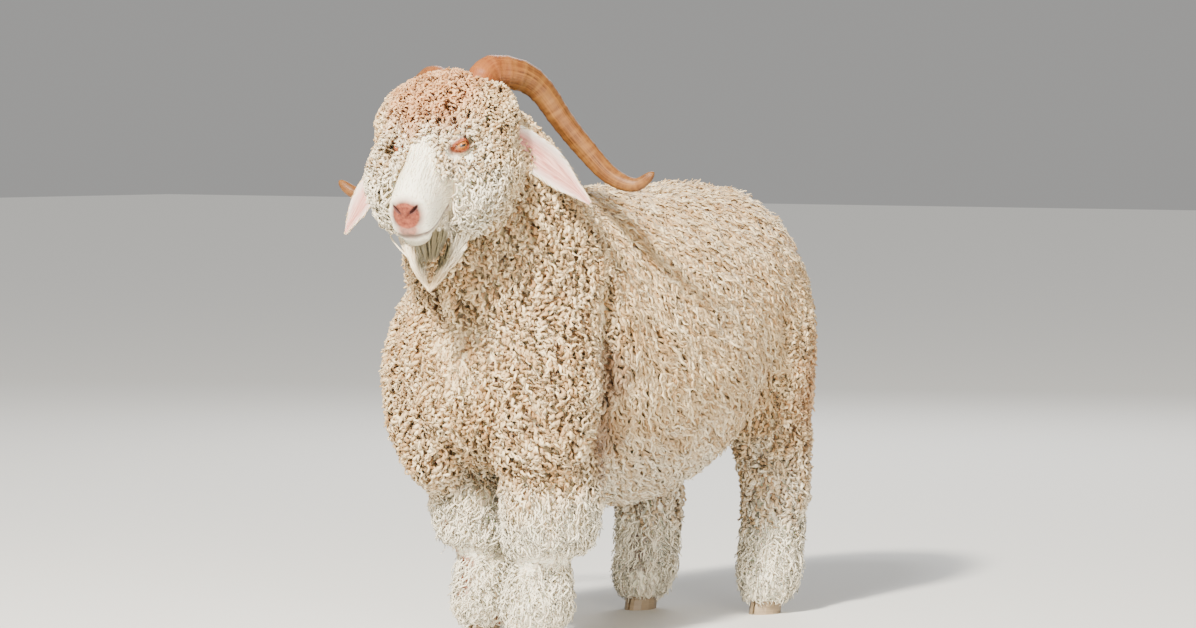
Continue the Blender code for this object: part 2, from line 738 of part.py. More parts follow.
def ear(side, finish):
    """A long hanging leaf, rolled into a cup at its root."""
    matrix = crown_matrix()
    rows = ear_rows(side)
    shape = bmesh.new()
    inner = [[shape.verts.new(matrix @ (point + out)) for point, out in row] for row in rows]
    outer = [[shape.verts.new(matrix @ (point - out)) for point, out in row] for row in rows]
    for i in range(EAR_ROWS - 1):
        for j in range(EAR_COLUMNS):
            for corners in (((i, j), (i, j + 1), (i + 1, j + 1)), ((i, j), (i + 1, j + 1), (i + 1, j))):
                shape.faces.new([inner[a][b] for a, b in corners])
                shape.faces.new([outer[a][b] for a, b in reversed(corners)])
    rim = [(0, j) for j in range(EAR_COLUMNS + 1)]
    rim += [(i, EAR_COLUMNS) for i in range(1, EAR_ROWS)]
    rim += [(EAR_ROWS - 1, j) for j in reversed(range(EAR_COLUMNS))]
    rim += [(i, 0) for i in range(EAR_ROWS - 2, 0, -1)]
    for (a, b), (c, d) in zip(rim, rim[1:] + rim[:1]):
        shape.faces.new((inner[a][b], inner[c][d], outer[c][d]))
        shape.faces.new((inner[a][b], outer[c][d], outer[a][b]))
    bmesh.ops.recalc_face_normals(shape, faces=shape.faces)
    data = bpy.data.meshes.new("ear")
    shape.to_mesh(data)
    shape.free()
    return add_object("ear_" + SIDE_NAMES[side], data, finish)


def muzzle_point(along, height, side):
    """The point of the head's skin at a distance from the poll and a height, on one side."""
    top, bottom, half = head_row(along)
    rise = max(-0.999, min(0.999, (height - (top + bottom) / 2) / ((top - bottom) / 2)))
    return Vector((side * half * head_width(rise), -along, height))


def mouth_path(lift):
    """From the left corner of the mouth, round the front of the lips, to the right corner."""
    left = []
    for k in range(MOUTH_STEPS + 1):
        t = k / MOUTH_STEPS
        along = MOUTH_BACK + (MOUTH_FRONT - MOUTH_BACK) * t
        left.append(muzzle_point(along, MOUTH_HEIGHT + (1 - t) * MOUTH_RISE + lift, 1))
    front = Vector((0, -MOUTH_FRONT - MOUTH_ROUND, MOUTH_HEIGHT + lift))
    return left + [front] + [Vector((-p.x, p.y, p.z)) for p in reversed(left)]


def mouth_tube(name, lift, radius):
    """A lip, or the groove between the lips, thinner towards the corners of the mouth."""
    points = mouth_path(lift)
    last = len(points) - 1
    halves = []
    for i in range(len(points)):
        full = min(1.0, 0.45 + 0.35 * min(i, last - i))
        halves.append((radius * full, radius * full))
    made = skin_rings(name, path_rings(points, halves, MOUTH_SIDES, side=Vector((0, 0, 1))))
    made.data.transform(head_matrix())
    return made


def eye_opening(side):
    """An almond-shaped cutter that opens the lids over an eye."""
    look = Vector((EYE_LOOK[0] * side, EYE_LOOK[1], EYE_LOOK[2])).normalized()
    across = Vector(EYE_ACROSS)
    across = (across - look * across.dot(look)).normalized()
    up = look.cross(across).normalized()
    half, high = EYE_OPENING
    rings = []
    for reach in (0.4 * EYE_RADIUS, 2 * EYE_RADIUS):
        rings.append([])
        for k in range(LID_SIDES):
            angle = 2 * math.pi * k / LID_SIDES
            rise = math.sin(angle) * (0.55 + 0.45 * abs(math.sin(angle)))
            edge = across * (half * math.cos(angle)) + up * (high * rise)
            rings[-1].append(eye_centre(side) + look * reach + edge)
    made = skin_rings("opening", rings)
    made.data.transform(head_matrix())
    return made


def beard():
    """Flat tapered locks along the edge of the jaw, in a V that runs down to one point."""
    draw = random.Random(SEED + 2)
    matrix = head_matrix()
    turn_only = matrix.to_3x3()
    point = matrix @ Vector(BEARD_POINT)
    made = []
    for count, outer in BEARD_ROWS:
        for k in range(count):
            turn = (2 * k / (count - 1) - 1) * math.pi / 2
            along = BEARD_BACK + (BEARD_FRONT - BEARD_BACK) * math.cos(turn) * outer
            jaw = head_row(along)[1]
            start = matrix @ Vector((BEARD_HALF * math.sin(turn) * outer, -along, jaw + BEARD_ROOT))
            reach = 1.0 - BEARD_SHORTER * abs(math.sin(turn)) + draw.uniform(-0.06, 0.06)
            bow = turn_only @ Vector((math.sin(turn), -math.cos(turn), 0)) * BEARD_BULGE
            points = []
            for bend in BEARD_BENDS:
                points.append(start.lerp(point, reach * bend) + bow * math.sin(math.pi * bend))
            side = turn_only @ Vector((math.cos(turn), math.sin(turn), 0))
            made.append(skin_rings("lock", path_rings(points, BEARD_LOCK, 4, side=side)))
    return made


def face():
    """What stands out of the skull: brows, cheekbones, lids, nose pad, lips, chin and beard."""
    matrix = head_matrix()
    made = [
        ball("nose_pad", (0, -NOSE_AT[0], NOSE_AT[1]), NOSE_PAD, matrix),
        ball("chin", *CHIN, matrix, 1),
        mouth_tube("upper_lip", LIP * LIP_APART, LIP),
        mouth_tube("lower_lip", -LIP * LIP_APART, LIP),
    ]
    for side in (1, -1):
        made.append(ball("lids", eye_centre(side), (EYE_RADIUS + LID,) * 3, matrix))
        for name, (offset, sizes) in (("brow", BROW), ("cheekbone", CHEEKBONE)):
            place = eye_centre(side) + Vector((offset[0] * side, offset[1], offset[2]))
            made.append(ball(name, place, sizes, matrix, 1))
    return made + beard()


def face_cuts():
    """The line of the mouth, the openings between the lids, and the nostrils."""
    made = [mouth_tube("mouth", 0.0, MOUTH_GROOVE)]
    for side in (1, -1):
        made.append(eye_opening(side))
        place = Matrix.Translation((NOSTRIL_AT[0] * side, NOSTRIL_AT[1], NOSTRIL_AT[2]))
        flare = Matrix.Rotation(NOSTRIL_FLARE * side, 4, "Z")
        lean = Matrix.Rotation(-NOSTRIL_LEAN * side, 4, "Y")
        made.append(ball("nostril", (0, 0, 0), NOSTRIL, head_matrix() @ place @ flare @ lean, 1))
    return made


def curl_cores():
    """The dense inner fleece of the forelock, the cheeks and the throat."""
    return [ball("curls", centre, sizes, head_matrix(), 1) for centre, sizes in CURL_CORES]


def centre_on_origin():
    """Moves the goat so that the middle of the underside of its box is the origin."""
    things = [thing for thing in bpy.data.objects if thing.type == "MESH"]
    corners = [vert.co for thing in things for vert in thing.data.vertices]
    low = [min(c[i] for c in corners) for i in range(3)]
    high = [max(c[i] for c in corners) for i in range(3)]
    shift = Vector((-(low[0] + high[0]) / 2, -(low[1] + high[1]) / 2, -low[2]))
    for thing in things:
        thing.data.transform(Matrix.Translation(shift))
    print("moved by", [round(c, 5) for c in shift])


def inner_fleece():
    """Every core of the dense inner fleece, each with the name of the coat that grows on it."""
    cores = [
        ("trunk", trunk(TRUNK_COAT * STAND)),
        ("neck", neck(NECK_COAT * STAND)),
        ("tail", tail(TAIL_COAT * STAND)),
        ("head", head_core()),
    ]
    for name in FEET:
        rows = FORE_LEG if name.startswith("fore") else HIND_LEG
        cores.append(("leg", leg(name, rows, LEG_COAT * STAND)))
    cores += [("head", core) for core in curl_cores()]
    cores += [("trunk", core) for core in shoulders(TRUNK_COAT * STAND)]
    return cores


def whole_body():
    """The cores, all clumps and the face, fused into one surface."""
    cores = inner_fleece()
    body = add_object("body", cores[0][1].data.copy())
    join(body, [add_object("copy", core.data.copy()) for _, core in cores[1:]])
    clumps = fleece(body, cores)
    for _, core in cores:
        bpy.data.objects.remove(core)
    join(body, clumps + face())
    return body


def part_body(body, finish):
    """Parts the whole body into its nodes and returns the head and the neck."""
    head = part_off(body, "head", [flipped(HEAD_SEAM), flipped(NECK_SEAM)], finish)
    neck_node = part_off(body, "neck", [HEAD_SEAM, flipped(NECK_SEAM)], finish)
    part_off(body, "tail", [flipped(TAIL_SEAM), ((0, HIND_FRONT, 0), (0, -1, 0))], finish)
    torso = part_off(body, "torso", [NECK_SEAM, TAIL_SEAM], finish)
    wells = []
    for side, word in SIDE_NAMES.items():
        part_off(body, f"foreleg_{word}_upper", fore_planes(side, FORE_SPLIT, FORE_TOP), finish)
        part_off(body, f"foreleg_{word}_lower", fore_planes(side, HOOF_TOP, FORE_SPLIT), finish)
        part_off(body, f"hind_leg_{word}_upper", hind_planes(side, HIND_SPLIT), finish)
        part_off(body, f"hind_leg_{word}_lower", hind_planes(side, HOOF_TOP, HIND_SPLIT), finish)
        wells.append(cell(fore_planes(side, -FAR, FORE_TOP), -GAP / 2))
        wells.append(cell(hind_planes(side, -FAR), -GAP / 2))
    bpy.data.objects.remove(body)
    join(torso, wells, "DIFFERENCE")
    keep_largest(torso)
    return head, neck_node


def build():
    wool = material("wool", (0.80, 0.73, 0.60), 0.9)
    horn_stuff = material("horn", (0.52, 0.36, 0.20), 0.45)
    hoof_stuff = material("hoof", (0.42, 0.34, 0.24), 0.55)
    ear_skin = material("ear_skin", (0.85, 0.68, 0.62), 0.7)
    eye_stuff = material("eye", (0.45, 0.24, 0.07), 0.1)

    head, neck_node = part_body(whole_body(), wool)
    for name in FEET:
        hoof(name, hoof_stuff)
    grown_on = []
    for side, word in SIDE_NAMES.items():
        eye = ball("eye_" + word, eye_centre(side), (EYE_RADIUS,) * 3, head_matrix())
        eye.data.materials.append(eye_stuff)
        grown_on += [horn(side, horn_stuff), ear(side, ear_skin), eye]
    for node in (head, neck_node):
        join(node, [socket(piece) for piece in grown_on], "DIFFERENCE")
    join(head, face_cuts(), "DIFFERENCE")
    for node in (head, neck_node):
        keep_largest(node)
    centre_on_origin()


clear_scene()
build()
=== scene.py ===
# %% [markdown]
# # An Angora goat in full fleece
# The animal stands still with its head turned a little to its left. Its fleece hangs in tight
# ringlets on the neck, chest and upper legs, in finer curls on the head, in longer wavy locks on the
# back and flanks and as loose fluff on the boots. The lesson models the bare animal first, as one
# skin, and then sets every lock of wool on it.

# %% Load the frame
import math

import bpy
import numpy as np
from mathutils import Matrix, Vector, noise
from mathutils.bvhtree import BVHTree


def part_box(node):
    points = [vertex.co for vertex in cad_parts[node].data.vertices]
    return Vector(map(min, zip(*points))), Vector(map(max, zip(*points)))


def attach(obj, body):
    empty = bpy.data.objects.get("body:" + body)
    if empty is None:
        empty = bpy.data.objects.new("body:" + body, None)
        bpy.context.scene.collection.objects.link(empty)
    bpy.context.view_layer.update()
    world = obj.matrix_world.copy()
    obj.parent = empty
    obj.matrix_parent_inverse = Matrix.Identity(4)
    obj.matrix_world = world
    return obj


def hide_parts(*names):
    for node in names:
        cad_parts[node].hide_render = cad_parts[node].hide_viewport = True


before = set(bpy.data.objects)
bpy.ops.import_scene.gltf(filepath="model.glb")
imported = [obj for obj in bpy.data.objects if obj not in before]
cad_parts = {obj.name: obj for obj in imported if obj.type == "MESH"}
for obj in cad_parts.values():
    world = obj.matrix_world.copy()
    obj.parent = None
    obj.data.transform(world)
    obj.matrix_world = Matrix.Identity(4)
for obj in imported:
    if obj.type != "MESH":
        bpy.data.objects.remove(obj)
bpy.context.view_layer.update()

print("nodes in the frame:", sorted(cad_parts))

# %% [markdown]
# ## Where the goat stands
# All sizes in this lesson are measured from one place between the feet, with the goat facing -Y and
# its left side at +X. The frame is centred on its own box instead. The left fore hoof ties the two
# together: its middle is known in both.

# %% Find the step from the lesson's sizes to the frame
HOOF_MIDDLE = Vector((0.0790, -0.3274))
low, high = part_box("hoof_fore_left")
SHIFT = Vector(((low.x + high.x) / 2 - HOOF_MIDDLE.x, (low.y + high.y) / 2 - HOOF_MIDDLE.y, 0.0))
LEFT, RIGHT = 1, -1
SIDE_NAMES = {LEFT: "left", RIGHT: "right"}
print("the goat is moved by", [round(c, 4) for c in SHIFT])

# %% [markdown]
# ## The camera
# The photograph was taken from the front left of the animal, from the height of its eyes, with a
# long lens. A camera far away with a narrow view keeps the muzzle from looking too big.

# %% Place the camera
PHOTO_WIDTH = 1196
FOCAL_PIXELS = 4078
SENSOR = 36.0
VIEW_TURN, VIEW_DOWN = math.radians(38), math.radians(2.75)
CAMERA_AWAY, CAMERA_ASIDE, CAMERA_HEIGHT = 7.375, -0.027, 0.92

bpy.ops.object.select_all(action="DESELECT")
place = Vector((CAMERA_AWAY * math.sin(VIEW_TURN) + CAMERA_ASIDE * math.cos(VIEW_TURN),
                -CAMERA_AWAY * math.cos(VIEW_TURN) + CAMERA_ASIDE * math.sin(VIEW_TURN), CAMERA_HEIGHT))
bpy.ops.object.camera_add(location=place + SHIFT, rotation=(math.pi / 2 - VIEW_DOWN, 0, VIEW_TURN))
camera = bpy.context.object
camera.data.sensor_width = SENSOR
camera.data.lens = SENSOR * FOCAL_PIXELS / PHOTO_WIDTH
bpy.context.scene.camera = camera
print("lens", round(camera.data.lens, 1), "mm")

# %% [markdown]
# ## Floor and light
# A pale floor and two wide lamps, at the open side and behind, keep the shadows soft. A small bright
# lamp and a sun with the same direction stand high in front of the animal, as the sun does in the
# photograph, so that every lock has a lit and a shaded side.

# %% Lay the floor and hang the lamps
FLOOR_SIZE, FLOOR_GREY = 60.0, (0.70, 0.69, 0.66)
LAMPS_AIM = Vector((0, 0, 0.45))
SUN_STRENGTH, SUN_SPREAD = 2.1, math.radians(10)
SKY, SKY_STRENGTH = (0.96, 0.95, 0.93), 0.38


def fill(tree, inputs, values):
    """Sets inputs of a node, or links those whose value is another node's output."""
    for key, value in values.items():
        socket = inputs[key.replace("_", " ") if isinstance(key, str) else key]
        if isinstance(value, bpy.types.NodeSocket):
            tree.links.new(value, socket)
        else:
            socket.default_value = (*value, 1) if socket.type == "RGBA" else value


def new_material(name, **inputs):
    """A material, its node tree and its shader, with constants set on the shader's own sockets."""
    made = bpy.data.materials.new(name)
    made.use_nodes = True
    shader = made.node_tree.nodes["Principled BSDF"]
    fill(made.node_tree, shader.inputs, inputs)
    return made, made.node_tree, shader


def hang_lamp(name, place, size, watts, colour):
    bpy.ops.object.light_add(type="AREA", location=place)
    lamp = bpy.context.object
    lamp.name = name
    lamp.data.size = size
    lamp.data.energy = watts
    lamp.data.color = colour
    lamp.rotation_euler = (LAMPS_AIM - Vector(place)).to_track_quat("-Z", "Y").to_euler()
    return lamp


bpy.ops.mesh.primitive_plane_add(size=FLOOR_SIZE)
floor = bpy.context.object
floor.name = "floor"
floor.data.materials.append(new_material("pale floor", Base_Color=FLOOR_GREY, Roughness=0.9)[0])

sun_side = hang_lamp("sun side", (1.1, -4.6, 4.5), 0.5, 1300, (1.0, 0.94, 0.82))
hang_lamp("open side", (4.6, -2.8, 1.4), 2.4, 200, (1.0, 0.95, 0.87))
hang_lamp("behind", (-2.2, 4.2, 3.2), 2.5, 150, (0.95, 0.97, 1.0))
bpy.ops.object.light_add(type="SUN", rotation=sun_side.rotation_euler)
bpy.context.object.data.energy = SUN_STRENGTH
bpy.context.object.data.angle = SUN_SPREAD
world = bpy.data.worlds.new("sky")
world.use_nodes = True
background = world.node_tree.nodes["Background"]
fill(world.node_tree, background.inputs, dict(Color=SKY, Strength=SKY_STRENGTH))
bpy.context.scene.world = world

# %% [markdown]
# ## Lofting by extrusion
# Trunk, neck, legs and head are all bodies of changing oval section. By hand, one draws a ring,
# extrudes it, moves it on and scales it, again and again. The helper below does just that.

# %% A helper that extrudes ring after ring
AXES = {"X": 0, "Y": 1, "Z": 2}


def only(thing):
    bpy.ops.object.select_all(action="DESELECT")
    thing.select_set(True)
    bpy.context.view_layer.objects.active = thing


def points_of(thing, what="co"):
    flat = np.empty(len(thing.data.vertices) * 3)
    thing.data.vertices.foreach_get(what, flat)
    return flat.reshape(-1, 3)


def set_points(thing, points):
    thing.data.vertices.foreach_set("co", points.ravel())
    thing.data.update()


def on_curve(p, q, r, s, t):
    """What lies at share t of the way from q to r on the Catmull-Rom curve through all four."""
    bend = (2 * p - 5 * q + 4 * r - s) * t * t + (3 * q - p - 3 * r + s) * t ** 3
    return 0.5 * (2 * q + (r - p) * t + bend)


def smooth_rows(rows, steps):
    """Rows of numbers, `steps` of them for each one given, on a Catmull-Rom curve through those."""
    ends = [rows[0], *rows, rows[-1]]
    out = []
    for i in range(1, len(ends) - 2):
        for k in range(steps):
            out.append([on_curve(*four, k / steps) for four in zip(*ends[i - 1:i + 3])])
    out.append(list(rows[-1]))
    return out


def loft(name, rings, sides, axis, shape=None, matrix=None):
    """Extrudes rings (x, y, z, half size, half size) along an axis. `shape` changes the first ring."""
    turn = {"X": (0, math.pi / 2, 0), "Y": (math.pi / 2, 0, 0), "Z": (0, 0, 0)}[axis]
    bpy.ops.object.select_all(action="DESELECT")
    bpy.ops.mesh.primitive_circle_add(vertices=sides, radius=1, fill_type="NGON", rotation=turn)
    made = bpy.context.object
    made.name = name
    bpy.ops.object.transform_apply(location=True, rotation=True, scale=True)
    if shape:
        set_points(made, shape(points_of(made)))
    across = [i for i in range(3) if i != AXES[axis]]

    def stretch(first, second):
        value = [1.0, 1.0, 1.0]
        value[across[0]], value[across[1]] = first, second
        return value

    bpy.ops.object.mode_set(mode="EDIT")
    bpy.ops.mesh.select_all(action="SELECT")
    bpy.ops.transform.resize(value=stretch(*rings[0][3:]), center_override=(0, 0, 0))
    bpy.ops.transform.translate(value=rings[0][:3])
    for before, after in zip(rings, rings[1:]):
        step = Vector(after[:3]) - Vector(before[:3])
        bpy.ops.mesh.extrude_region_move(TRANSFORM_OT_translate={"value": step})
        bpy.ops.transform.resize(value=stretch(after[3] / before[3], after[4] / before[4]),
                                 center_override=after[:3])
    bpy.ops.mesh.select_all(action="SELECT")
    bpy.ops.mesh.normals_make_consistent(inside=False)
    bpy.ops.object.mode_set(mode="OBJECT")
    if matrix:
        made.data.transform(matrix)
    return made


def ball(name, centre, halves, matrix=None, segments=32):
    bpy.ops.object.select_all(action="DESELECT")
    bpy.ops.mesh.primitive_uv_sphere_add(segments=segments, ring_count=segments // 2, radius=1)
    made = bpy.context.object
    made.name = name
    place = (matrix or Matrix()) @ Matrix.Translation(centre)
    made.data.transform(place @ Matrix.Diagonal((*halves, 1)))
    return made


def copy_of(thing, name):
    only(thing)
    bpy.ops.object.duplicate()
    made = bpy.context.object
    made.name = name
    return made


def joined(name, pieces):
    only(pieces[0])
    for piece in pieces:
        piece.select_set(True)
    bpy.ops.object.join()
    bpy.context.object.name = name
    return bpy.context.object


def edit(thing, operator, **settings):
    """Runs an edit-mode operator on the whole of a mesh."""
    only(thing)
    bpy.ops.object.mode_set(mode="EDIT")
    bpy.ops.mesh.select_all(action="SELECT")
    operator(**settings)
    bpy.ops.object.mode_set(mode="OBJECT")


def modify(thing, kind, **settings):
    """Adds a modifier, sets it and applies it."""
    only(thing)
    bpy.ops.object.modifier_add(type=kind)
    modifier = thing.modifiers[-1]
    for key, value in settings.items():
        setattr(modifier, key, value)
    bpy.ops.object.modifier_apply(modifier=modifier.name)


# %% [markdown]
# ## The body
# The rows give the outline at the tips of the fleece. Taking the depth of the coat off every ring
# gives the bare animal, and taking off a little gives a guide that the locks lie on. So one function
# makes both, and skin and fleece keep the same proportions.

# %% Named sizes of trunk, neck, legs and tail
DEPTH = {"trunk": 0.029, "neck": 0.027, "leg": 0.020, "tail": 0.016}
TRUNK = (   # distance back, height of back, height of belly, half width
    (-0.470, 0.575, 0.450, 0.074),
    (-0.445, 0.650, 0.370, 0.130),
    (-0.388, 0.730, 0.320, 0.172),
    (-0.290, 0.790, 0.285, 0.190),
    (-0.150, 0.800, 0.240, 0.204),
    (0.000, 0.802, 0.216, 0.220),
    (0.140, 0.806, 0.246, 0.218),
    (0.260, 0.802, 0.325, 0.203),
    (0.350, 0.785, 0.390, 0.175),
    (0.415, 0.740, 0.440, 0.130),
    (0.445, 0.680, 0.500, 0.070),
)
SHOULDER = ((0.110, -0.345, 0.455), (0.112, 0.112, 0.200))
NECK_FOOT, NECK_TOP = Vector((0.000, -0.240, 0.530)), Vector((0.036, -0.462, 0.905))
NECK = (    # share of the way up the neck, half width, half depth
    (0.00, 0.190, 0.215),
    (0.24, 0.188, 0.200),
    (0.48, 0.170, 0.178),
    (0.70, 0.148, 0.155),
    (0.88, 0.124, 0.130),
    (1.00, 0.095, 0.095),
)
FORE_LEG = (    # offsets outwards and back from the foot, height, half width, half length
    (0.018, 0.010, 0.420, 0.076, 0.094),
    (0.022, 0.010, 0.330, 0.090, 0.102),
    (0.024, 0.008, 0.250, 0.092, 0.102),
    (0.020, 0.006, 0.190, 0.086, 0.094),
    (0.010, 0.004, 0.155, 0.070, 0.076),
    (0.004, 0.002, 0.125, 0.060, 0.066),
    (0.000, 0.000, 0.085, 0.066, 0.072),
    (0.000, -0.004, 0.052, 0.060, 0.066),
    (0.000, -0.008, 0.022, 0.036, 0.044),
)
HIND_LEG = (
    (0.000, -0.025, 0.640, 0.062, 0.102),
    (0.000, -0.030, 0.560, 0.090, 0.132),
    (0.000, -0.030, 0.470, 0.092, 0.130),
    (0.000, -0.018, 0.390, 0.084, 0.112),
    (0.000, 0.004, 0.320, 0.075, 0.090),
    (0.000, 0.018, 0.260, 0.068, 0.076),
    (0.000, 0.014, 0.190, 0.065, 0.070),
    (0.000, 0.006, 0.120, 0.064, 0.070),
    (0.000, 0.000, 0.070, 0.062, 0.068),
    (0.000, -0.004, 0.046, 0.052, 0.060),
    (0.000, -0.008, 0.022, 0.036, 0.044),
)
FEET = {    # left of the middle, back from the origin
    "fore_left": (0.079, -0.315),
    "fore_right": (-0.079, -0.262),
    "hind_left": (0.112, 0.330),
    "hind_right": (-0.112, 0.242),
}
TAIL_FOOT, TAIL_TIP = Vector((0.0, 0.390, 0.705)), Vector((0.0, 0.530, 0.624))
TAIL = ((0.0, 0.044), (0.35, 0.045), (0.62, 0.042), (0.85, 0.034), (1.0, 0.015))
TAIL_LEAST = 0.006      # the bare tail is nowhere thinner than this
ANKLE = 0.12            # under this height the coat of a leg thins towards the hoof
BODY_SIDES, TAIL_SIDES = 36, 16


def along_axis(foot, top):
    """A matrix that turns +Z to run from one point to another, keeping +X to the animal's left."""
    way = (top - foot).normalized()
    across = (Vector((1, 0, 0)) - way * way.x).normalized()
    matrix = Matrix((across, way.cross(across), way)).transposed().to_4x4()
    return Matrix.Translation(foot) @ matrix


def body_parts(depth_of):
    """Lofts of the body as (coat, object). `depth_of(coat)` is how far inside the tips they lie."""
    inset = depth_of("trunk")
    rings = [(0, back, (top + under) / 2, half - inset, (top - under) / 2 - inset)
             for back, top, under, half in smooth_rows(TRUNK, 3)]
    parts = [("trunk", loft("trunk", rings, BODY_SIDES, "Y"))]
    (left, back, up), halves = SHOULDER
    for side in (LEFT, RIGHT):
        sizes = [half - inset for half in halves]
        parts.append(("trunk", ball("shoulder", (left * side, back, up), sizes)))
    inset = depth_of("neck")
    length = (NECK_TOP - NECK_FOOT).length
    rings = [(0, 0, share * length, half - inset, deep - inset)
             for share, half, deep in smooth_rows(NECK, 3)]
    upright = along_axis(NECK_FOOT, NECK_TOP)
    parts.append(("neck", loft("neck", rings, BODY_SIDES, "Z", matrix=upright)))
    inset = depth_of("tail")
    length = (TAIL_TIP - TAIL_FOOT).length
    rings = [(0, 0, share * length, *(max(TAIL_LEAST, half - inset),) * 2)
             for share, half in smooth_rows(TAIL, 2)]
    hanging = along_axis(TAIL_FOOT, TAIL_TIP)
    parts.append(("tail", loft("tail", rings, TAIL_SIDES, "Z", matrix=hanging)))
    for foot, (left, back) in FEET.items():
        rings = []
        out = math.copysign(1.0, left)
        rows = FORE_LEG if "fore" in foot else HIND_LEG
        for outwards, offset, height, half, long in smooth_rows(rows, 3):
            inset = depth_of("leg") * min(1.0, max(0.25, height / ANKLE))
            rings.append((left + outwards * out, back + offset, height, half - inset, long - inset))
        parts.append(("leg", loft("leg_" + foot, rings, BODY_SIDES // 2, "Z")))
    return parts


# %% [markdown]
# ## The head
# The head gets the most care. It is lofted in its own frame, looking along -Y with the brow level,
# because there its halves mirror each other. Its rings aren't ellipses: they are squarer, narrow
# along the bridge of the nose and under the jaw. Brows, cheekbones, lids, nose pad, upper lip and
# chin are added as pressed balls of clay, and a fine voxel remesh melts them into one surface.

# %% Named sizes of the head
HEAD_PLACE = Vector((0.040, -0.500, 0.940))
HEAD_TURN, HEAD_PITCH, CROWN_TURN = math.radians(20), math.radians(26), math.radians(16)
HEAD_FRAME = (Matrix.Translation(HEAD_PLACE) @ Matrix.Rotation(HEAD_TURN, 4, "Z")
              @ Matrix.Rotation(HEAD_PITCH, 4, "X"))
CROWN = Matrix.Translation(HEAD_PLACE) @ Matrix.Rotation(CROWN_TURN, 4, "Z")    # for horns and ears
HEAD = (    # from the poll towards the nose, height of brow, height of jaw, half width, at the skin
    (-0.045, -0.035, -0.095, 0.036),
    (-0.030, -0.018, -0.118, 0.054),
    (0.000, 0.000, -0.135, 0.064),
    (0.045, 0.014, -0.142, 0.069),
    (0.090, 0.018, -0.142, 0.068),
    (0.130, 0.010, -0.136, 0.058),
    (0.170, -0.003, -0.130, 0.046),
    (0.210, -0.012, -0.128, 0.040),
    (0.245, -0.021, -0.126, 0.038),
    (0.266, -0.032, -0.119, 0.033),
    (0.279, -0.052, -0.102, 0.020),
)
HEAD_SQUARE, BRIDGE, JOWL = 0.80, 0.24, 0.14
EYE_AT = Vector((0.0490, -0.1180, -0.0150))
EYE_RADIUS, LID = 0.0150, 0.0028
EYE_LOOK, EYE_ACROSS = Vector((0.76, -0.60, 0.26)), Vector((-0.45, -0.90, 0.12))
EYE_OPENING = (0.0142, 0.0078)
HEAD_VOXEL, HEAD_SIDES = 0.0019, 48


def clamp(value):
    return min(1.0, max(0.0, value))


def mirrored(vector, side):
    return Vector((vector[0] * side, vector[1], vector[2]))


def head_width(rise):
    """Share of the half width that a ring of the head has where it rises by `rise`, from -1 to 1."""
    ellipse = (1 - np.abs(rise) ** (2 / HEAD_SQUARE)) ** (HEAD_SQUARE / 2)
    return ellipse * (1 - BRIDGE * np.maximum(0, rise) ** 2 - JOWL * np.maximum(0, -rise) ** 2)


def head_ring(points):
    """Turns the round first ring into the section of a goat's head."""
    shaped = points.copy()
    rise = np.sign(points[:, 2]) * np.abs(points[:, 2]) ** HEAD_SQUARE
    shaped[:, 2] = rise
    shaped[:, 0] = np.sign(points[:, 0]) * head_width(np.clip(rise, -1, 1))
    return shaped


def head_row(along):
    """Brow height, jaw height and half width at a distance from the poll."""
    rows = np.array(smooth_rows(HEAD, 8))
    return [np.interp(along, rows[:, 0], rows[:, i]) for i in (1, 2, 3)]


# %% Lay the clay of the head
def head_loft(grow, matrix=None):
    """The skull and jaws, `grow` outside the skin."""
    rings = [(0, -along, (top + jaw) / 2, half + grow, (top - jaw) / 2 + grow)
             for along, top, jaw, half in smooth_rows(HEAD, 4)]
    return loft("head", rings, HEAD_SIDES, "Y", shape=head_ring, matrix=matrix)


def head_clay():
    pieces = [head_loft(0.0),
              ball("nose_pad", (0, -0.2640, -0.0560), (0.0265, 0.0175, 0.0250)),
              ball("chin", (0, -0.2440, -0.1200), (0.0240, 0.0260, 0.0150)),
              ball("upper_lip", (0, -0.2500, -0.0900), (0.0350, 0.0300, 0.0160))]
    for side in (LEFT, RIGHT):
        eye = mirrored(EYE_AT, side)
        pieces.append(ball("lids", eye, (EYE_RADIUS + LID,) * 3))
        for name, offset, halves in (("brow", (-0.010, 0.006, 0.008), (0.022, 0.026, 0.017)),
                                     ("cheekbone", (-0.010, -0.006, -0.026), (0.017, 0.034, 0.016))):
            pieces.append(ball(name, eye + mirrored(offset, side), halves))
    head = joined("head_skin", pieces)
    modify(head, "REMESH", mode="VOXEL", voxel_size=HEAD_VOXEL)
    modify(head, "SMOOTH", factor=0.5, iterations=12)
    return head


head_skin = head_clay()
print("head clay:", len(head_skin.data.vertices), "points")

# %% [markdown]
# ## Carving the face
# Lips, philtrum, the wings of the nose, lid creases and the tear groove are too fine to block out.
# They are carved as a sculptor would, by moving the points of the dense clay in or out near a line.

# %% Carve along lines on the head
MOUTH_BACK, MOUTH_FRONT, MOUTH_ROUND = 0.185, 0.270, 0.009
MOUTH_HEIGHT, MOUTH_RISE = -0.1040, 0.0060


def muzzle_point(along, height, side):
    """The point of the head's skin at a distance from the poll and a height, on one side."""
    top, jaw, half = head_row(along)
    rise = np.clip((height - (top + jaw) / 2) / ((top - jaw) / 2), -0.999, 0.999)
    return Vector((side * half * float(head_width(rise)), -along, height))


def mouth_line():
    left = []
    for t in np.linspace(0, 1, 7):
        along = MOUTH_BACK + (MOUTH_FRONT - MOUTH_BACK) * t
        left.append(muzzle_point(along, MOUTH_HEIGHT + (1 - t) ** 2 * MOUTH_RISE * 1.6, LEFT))
    front = Vector((0, -MOUTH_FRONT - MOUTH_ROUND, MOUTH_HEIGHT))
    return left + [front] + [mirrored(p, RIGHT) for p in reversed(left)]


